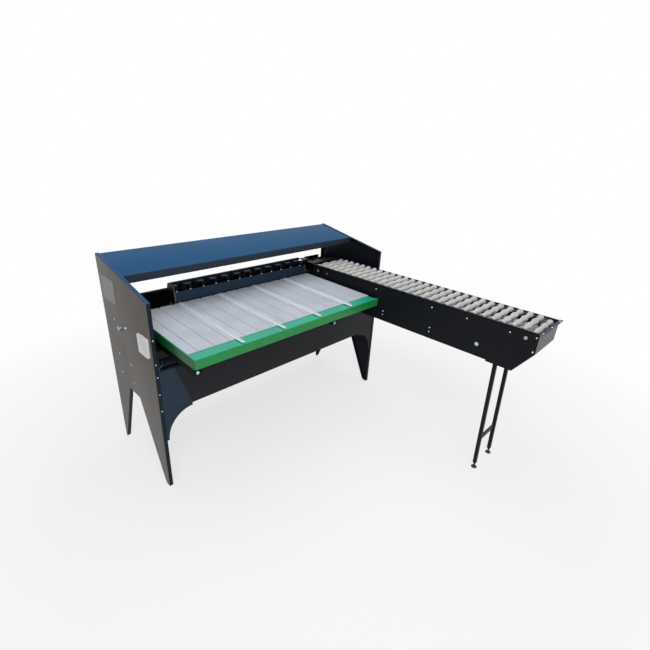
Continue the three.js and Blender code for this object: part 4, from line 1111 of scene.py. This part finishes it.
def addSprocket(hand, name, size, hubWay):  # a toothed ring on a thicker disc, with a hub on one side
    x, (y, z) = drive[hand + "X"], shafts[name][:2]
    radius, teeth = drive[size]
    outline = []
    for i in range(teeth):
        for share, depth in drive["flank"]:
            out = radius - depth * drive["tooth"]
            outline.append(rim(y, z, out, 2 * math.pi * (i + share) / teeth))
    middle, half = x + drive["width"] / 2, drive["toothWidth"] / 2
    ring = addPlate("X", outline, middle - half, middle + half)
    disc = rod(x, x + drive["width"], y, z, radius - drive["web"])
    hubX = x if hubWay > 0 else x - drive["hubLength"]
    return [ring, disc, rod(hubX, hubX + drive["width"] + drive["hubLength"], y, z, drive["hub"])]


def addCam(x, y, z):  # two half circles, the back one thrown outwards
    outline = []
    for way, shift in ((-1, 0), (1, drive["camThrow"])):
        for i in range(drive["camSteps"] + 1):
            angle = math.pi * i / drive["camSteps"]
            across, up = drive["camRadius"] * math.sin(angle), drive["camRadius"] * math.cos(angle)
            outline.append((y + shift + way * across, z - way * up))
    return soften(addPlate("X", outline, x, x + drive["camWidth"]), 0.8, 2, 60)


def makeDrive():
    pieces = [shaftRod("main")]
    pieces += addSprocket("left", "main", "large", 1) + addSprocket("right", "main", "small", -1)
    y, z = shafts["main"][:2]
    for x, collarXs in zip(drive["camXs"], drive["collarXs"]):
        pieces += [addCam(x, y, z), rod(*collarXs, y, z, drive["collar"])]
    settle(joined(pieces), "main_shaft_turned", "zinc", "drive", ["main_shaft"])
    pieces = [shaftRod("motor")] + addSprocket("left", "motor", "small", 1)
    settle(joined(pieces), "motor_shaft_sprocket", "zinc", "motor_output", ["motor_sprocket"])
    for name in ("drive", "idler"):
        y, z = shafts[name][:2]
        pieces = [shaftRod(name)]
        pieces += [rod(x, x + drive["discWidth"], y, z, drive["disc"]) for x in drive["discXs"]]
        if name == "drive":
            pieces += addSprocket("right", name, "small", -1)
        stands = ["conveyor_%s_shaft" % name]
        settle(joined(pieces), "belt_shaft_" + name, "zinc", "belt_" + name, stands)


def makeDriveChain(hand, start, first, second, count, node):
    ends = shafts[start][:2] + shafts["main"][:2]
    wheels = [drive[size][0] + drive["pitchLine"] for size in (first, second)]
    x = drive[hand + "X"] + drive["width"] / 2
    sizes = drive["chainWidth"], drive["chainPlate"]
    chainAlong(*loopOf(*ends, *wheels), count, x, *sizes, hand + "_link_chain", [node])


makeDrive()
makeDriveChain("left", "motor", "small", "large", 54, "drive_chain")
makeDriveChain("right", "drive", "small", "small", 28, "conveyor_drive_chain")
print("drive made")

# Gear motor under the left end, with its axis in Y and Z, lengths in X from its flange
motor = {
    "axis": (318, 493),
    "faceX": 62.3,
    "gearbox": ((66.3, 268, 445), (132.3, 368, 541)),
    "edge": 7,
    "flange": [(0, 44), (1, 46), (6, 46)],
    "neck": [(68, 40), (80, 40)],
    "body": [(78, 46), (79.5, 48), (87, 48), (88.5, 43), (238, 43), (239, 48), (247, 48), (248, 46)],
    "cover": [(248, 49), (249, 50), (276, 50), (280, 48), (282, 44)],
    "coverEnd": 282,
    "rings": (40, 34, 28, 22, 16),
    "ringDepth": 3,
    "fin": ((152.3, 316.9, 535), (300.3, 319.1, 540.6)),
    "fins": 32,
    "box": ((180.3, 336, 512), (236.3, 367.5, 542.5)),
    "gland": [(0, 8), (6, 8), (6, 6), (14, 6), (15, 5)],
    "glandPlace": (234.3, 351.75, 530.25),
    "boltX": 132.3,
    "bolt": 38,
    "boltSize": 0.7,
}


def makeGearMotor():
    y, z = motor["axis"]
    place = (motor["faceX"], y, z)
    cover, end, depth = list(motor["cover"]), motor["coverEnd"], motor["ringDepth"]
    for ring in motor["rings"]:
        cover += [(end, ring), (end - depth, ring - 0.3), (end - depth, ring - 3), (end, ring - 3.3)]
    pieces = [addBlock(*motor["gearbox"], motor["edge"], 4)]
    for steps, sides in ((motor["flange"], 40), (motor["neck"], 40), (motor["body"], 48), (cover, 48)):
        pieces.append(addTurned("X", place, steps, sides))
    fin = addBlock(*motor["fin"], 0.5)
    for i in range(motor["fins"]):
        pieces.append(doubled(fin, aboutX(at(0, y, z), 2 * math.pi * i / motor["fins"])))
    bpy.data.objects.remove(fin)
    pieces.append(addBlock(*motor["box"], 2.5, 3))
    pieces.append(addTurned("X", motor["glandPlace"], motor["gland"], 24))
    settle(joined(pieces), "finned_gear_motor", "motorPaint", stands=["gear_motor"])
    template, reach = hexBolt(), motor["bolt"]
    corners = [(motor["boltX"], y + a * reach, z + b * reach) for a in (-1, 1) for b in (-1, 1)]
    boltOn(template, [(corner, right, motor["boltSize"]) for corner in corners], "gearbox_bolts")
    bpy.data.objects.remove(template)


makeGearMotor()
print("motor made")

# Weigh levers: a bent pan on a bar that tips on the pivot shaft, with a counterweight behind
lever = {
    "first": 331.55,
    "spacing": 73.7,
    "count": 12,
    "pan": [(400, 809), (390, 803), (370, 803), (360, 806)],
    "panHalf": 14,
    "sheet": 3,
    "fold": 4,
    "bar": [(363.5, 803), (363.5, 780), (385, 765), (398, 722), (457, 722)],
    "barThick": 7,
    "barHalf": 3,
    "pivot": (385, 765),
    "hub": 9,
    "hubHalf": 8,
    "bore": 4.3,
    "weight": [(0, 11.5), (1.5, 13), (7, 13), (7.6, 12.2), (9, 12.2), (9.6, 13), (25.5, 13), (27, 11.5)],
    "weightPlace": (331.55, 450, 722),
}


def makeLevers():
    x, half = lever["first"], lever["panHalf"]
    pan = addSheet(lever["pan"], x - half, x + half, lever["sheet"], lever["fold"])
    soften(pan, 0.8, 2, 60)
    half, outline = lever["barHalf"], ribbon(lever["bar"], lever["barThick"])
    bar = soften(addPlate("X", outline, x - half, x + half), 1.2, 2, 30)
    half = lever["hubHalf"]
    piece = joined([bar, rod(x - half, x + half, *lever["pivot"], lever["hub"])])
    bored(piece, "X", (x - 20, *lever["pivot"]), 40, lever["bore"])
    piece = joined([piece, pan, addTurned("Y", lever["weightPlace"], lever["weight"], 28)])
    for n in range(lever["count"]):
        number = "%02d" % (n + 1)
        other = doubled(piece, Matrix.Translation((lever["spacing"] * n / 1000, 0, 0)))
        # the pans wear near black: painted shade under the transfer bar
        settle(other, "egg_pan_" + number, "shadowBlackCoat", "lever_" + number, ["weigh_lever_" + number])
    bpy.data.objects.remove(piece)


makeLevers()

# Lift rail, its rocker and the transfer that rides on it
lifter = {
    "rail": (432, 785),
    "radius": 6,
    "railXs": (60, 1398),
    "blockXs": ((34, 74), (1384, 1424)),
    "blockYs": (420, 444),
    "blockZs": (743.6, 797),
    "postXs": (48, 1410),
    "postZ": 738.6,
    "bore": 6.4,
    "boreReach": 63.4,
    "rocker": (377, 720),
    "rockerXs": (2.3, 1455.7),
    "rockerRadius": 8,
    "arm": (432, 735),
    "armXs": ((62, 70), (1388, 1396)),
    "armThick": 8,
    "bossReach": 2,
    "boss": 11.5,
    "rollerReach": 4,
    "roller": 8,
}


def makeLift():
    y, z = lifter["rail"]
    (y0, y1), (z0, z1) = lifter["blockYs"], lifter["blockZs"]
    pieces = [rod(*lifter["railXs"], y, z, lifter["radius"])]
    for (x0, x1), postX in zip(lifter["blockXs"], lifter["postXs"]):
        body = addBlock((x0, y0, z0), (x1, y1, z1), 2, 3)
        pieces.append(bored(body, "Z", (postX, y, lifter["postZ"]), lifter["boreReach"], lifter["bore"]))
    # the rail wears near black: painted shade
    settle(joined(pieces), "rail_on_blocks", "shadowBlackCoat", "lift", ["lift_rail"])
    rocker, arm = lifter["rocker"], lifter["arm"]
    outline = ribbon([rocker, arm], lifter["armThick"])
    pieces = [rod(*lifter["rockerXs"], *rocker, lifter["rockerRadius"])]
    for x0, x1 in lifter["armXs"]:
        pieces.append(soften(addPlate("X", outline, x0, x1), 1))
        for place, part in ((rocker, "boss"), (arm, "roller")):
            reach = lifter[part + "Reach"]
            pieces.append(rod(x0 - reach, x1 + reach, *place, lifter[part]))
    settle(joined(pieces), "rocker_with_arms", "hiddenCoat", "rocker", ["lift_rocker"])


carrier = {
    "bar": ((287.2, 402, 812), (1150, 416, 828)),
    "edge": 3,
    "apron": ((287.2, 414, 797), (1150, 416, 816)),
    "tail": ((1136, 402, 816), (1179.1, 414, 820)),
    "first": 294.7,
    "spacing": 73.7,
    "count": 13,
    "prongYs": (368, 414),
    "prongZs": (816, 820),
    "prongHalf": 19,
    "prongCorner": 7,
    "sliders": (1, 6, 11),
    "sliderHalf": 12,
    "sliderYs": (404, 446),
    "sliderZs": (773, 814),
    "boreStart": 17,
    "bore": 6.3,
}


def makeTransfer():
    xs = [carrier["first"] + carrier["spacing"] * k for k in range(carrier["count"])]
    pieces = [addBlock(*carrier["bar"], carrier["edge"], 4), addBlock(*carrier["apron"], 0.8)]
    (y0, y1), (z0, z1), half = carrier["prongYs"], carrier["prongZs"], carrier["prongHalf"]
    for x in xs:
        low = (max(carrier["bar"][0][0], x - half), y0, z0)
        prong = addRounded("Z", low, (x + half, y1, z1), carrier["prongCorner"])
        pieces.append(soften(prong, 0.8, 2, 60))
    pieces.append(addBlock(*carrier["tail"], 1))
    (y0, y1), (z0, z1), half = carrier["sliderYs"], carrier["sliderZs"], carrier["sliderHalf"]
    for x in (xs[k] for k in carrier["sliders"]):
        body = addBlock((x - half, y0, z0), (x + half, y1, z1), 2, 3)
        start = carrier["boreStart"]
        pieces.append(bored(body, "X", (x - start, *lifter["rail"]), 2 * start, carrier["bore"]))
    settle(joined(pieces), "transfer_bar", "transferCoat", "carriage", ["transfer_carriage"])


makeLift()
makeTransfer()
print("scales, lift and transfer made")

# Leg frame of the conveyor and its levelling feet, upright about its pivot and then leant
stand = {
    "pivot": (-880.5, 616),
    "lean": 21.5,
    "xs": (1207.1, 1372.2),
    "tube": 8.5,
    "corner": 2.2,
    "above": 12.5,
    "endZ": 30,
    "hollow": 7,
    "hollowZs": (60, 5),
    "cap": [(0, 7), (3, 7)],
    "weld": [(0, 7.5), (1.4, 8.7), (2.2, 7.9)],
    "weldX": 7.5,
    "rod": 5,
    "rodXs": (1171.1, 1408.2),
    "brace": (162, 192),
    "braceHalf": 2.5,
    "pad": [(0, 13.4), (0.8, 14), (2.8, 14), (4, 12.4), (5, 9)],
    "threadStart": 4,
    "threadTop": 52,
    "threadPitch": 1.6,
    "threadDepth": 0.6,
}


def makeStand():
    y, z = stand["pivot"]
    foot = z - math.hypot(z, stand["lean"])
    turn = aboutX(at(0, y, z), -math.atan2(stand["lean"], z))
    half, inner = stand["tube"], stand["hollow"]
    low, top = foot + stand["endZ"], z + stand["above"]
    braceLow, braceHigh = (foot + b for b in stand["brace"])
    below, above = stand["hollowZs"]
    pieces = []
    for x in stand["xs"]:
        tube = addRounded("Z", (x - half, y - half, low), (x + half, y + half, top), stand["corner"], 4)
        cutOut(tube, addBlock((x - inner, y - inner, top - below), (x + inner, y + inner, top + above), 1))
        pieces += [tube, addTurned("Z", (x, y, low), stand["cap"], 20)]
        weldPlace = (x + stand["weldX"], y, (braceLow + braceHigh) / 2)
        pieces.append(addTurned("X", weldPlace, stand["weld"], 20))
    pieces.append(rod(*stand["rodXs"], y, z, stand["rod"]))
    thick, (x0, x1) = stand["braceHalf"], stand["xs"]
    pieces.append(addBlock((x0, y - thick, braceLow), (x1, y + thick, braceHigh), 1))
    piece = joined(pieces)
    piece.data.transform(turn)
    settle(piece, "folding_leg", "legCoat", "legs", ["leg_frame"])
    r, pitch, depth = stand["rod"], stand["threadPitch"], stand["threadDepth"]
    steps = [(stand["threadStart"] - 1, r - depth), (stand["threadStart"], r)]
    while steps[-1][0] < stand["threadTop"] - pitch:
        base = steps[-1][0]
        steps += [(base + pitch / 2, r - depth), (base + pitch, r)]
    for hand, x in zip(("left", "right"), stand["xs"]):
        thread = addTurned("Z", (x, y, foot), steps, 16)
        thread.data.transform(turn)
        pad = addTurned("Z", (x, y - stand["lean"], 0), stand["pad"], 32)
        stands = ["levelling_foot_" + hand]
        settle(joined([pad, thread]), "screw_foot_" + hand, "castIron", "foot_" + hand, stands)


makeStand()
print("leg made")

# Studio
studio = {
    "floorSize": 40,
    "floorZ": -0.0005,
    "floorGrey": (0.86, 0.86, 0.86, 1),
    "glowRadii": (1.2, 2.6),
    "ambient": (0.96, 0.98, 1.0, 1),
    "ambientStrength": 0.2,
    "aim": (0, 0, 0.6),
    "lamps": {
        "key lamp": ((-1.9, -2.2, 3.4), 2.4, 80),
        "top lamp": ((0.2, 0.6, 3.6), 3.2, 56),
        "fill lamp": ((2.6, -2.8, 1.8), 2.4, 15),
    },
}


def areaLamp(name, place, size, power):
    bpy.ops.object.light_add(type="AREA", location=place)
    lamp = bpy.context.object
    lamp.name = name
    lamp.data.size = size
    lamp.data.energy = power
    aim = Vector(studio["aim"]) - Vector(place)
    lamp.rotation_euler = aim.to_track_quat("-Z", "Y").to_euler()


def seenDirectly(tree):  # 1 for what the camera, gloss and glass see
    rays = tree.nodes.new("ShaderNodeLightPath")
    total = rays.outputs["Is Camera Ray"]
    for name in ("Is Glossy Ray", "Is Transmission Ray"):
        larger = tree.nodes.new("ShaderNodeMath")
        larger.operation = "MAXIMUM"
        tree.links.new(total, larger.inputs[0])
        tree.links.new(rays.outputs[name], larger.inputs[1])
        total = larger.outputs[0]
    return total


def blended(tree, share, first, second, out):  # the share of the second in what the output shows
    choose = tree.nodes.new("ShaderNodeMixShader")
    for socket, source in zip(choose.inputs, (share, first, second)):
        tree.links.new(source, socket)
    tree.links.new(choose.outputs[0], out.inputs["Surface"])


def whiteWorld():
    world = bpy.data.worlds.new("studio")
    bpy.context.scene.world = world
    world.use_nodes = True
    tree = world.node_tree
    tree.nodes.clear()
    soft = tree.nodes.new("ShaderNodeBackground")
    soft.inputs["Color"].default_value = studio["ambient"]
    soft.inputs["Strength"].default_value = studio["ambientStrength"]
    white = tree.nodes.new("ShaderNodeBackground")
    white.inputs["Color"].default_value = (1, 1, 1, 1)
    white.inputs["Strength"].default_value = 1
    out = tree.nodes.new("ShaderNodeOutputWorld")
    blended(tree, seenDirectly(tree), soft.outputs[0], white.outputs[0], out)


def paleFloor():
    rest()
    bpy.ops.mesh.primitive_plane_add(size=studio["floorSize"], location=(0, 0, studio["floorZ"]))
    floor = bpy.context.object
    floor.name = "floor"
    made = Finish("pale floor", roughness=0.9)
    made.set(Base_Color=studio["floorGrey"])
    tree = made.tree
    away = made.node("ShaderNodeVectorMath", {"operation": "LENGTH"}, {0: made.place}, "Value")
    share = away.span(*studio["glowRadii"], 0.7, 1.0) * Signal(made, seenDirectly(tree))
    glow = tree.nodes.new("ShaderNodeEmission")
    glow.inputs["Strength"].default_value = 1
    blended(tree, share.socket, made.shader.outputs[0], glow.outputs[0], made.out)
    floor.data.materials.append(made.material)


whiteWorld()
paleFloor()
for lampName, values in studio["lamps"].items():
    areaLamp(lampName, *values)
bpy.context.scene.view_settings.view_transform = "Standard"
print("studio lit")
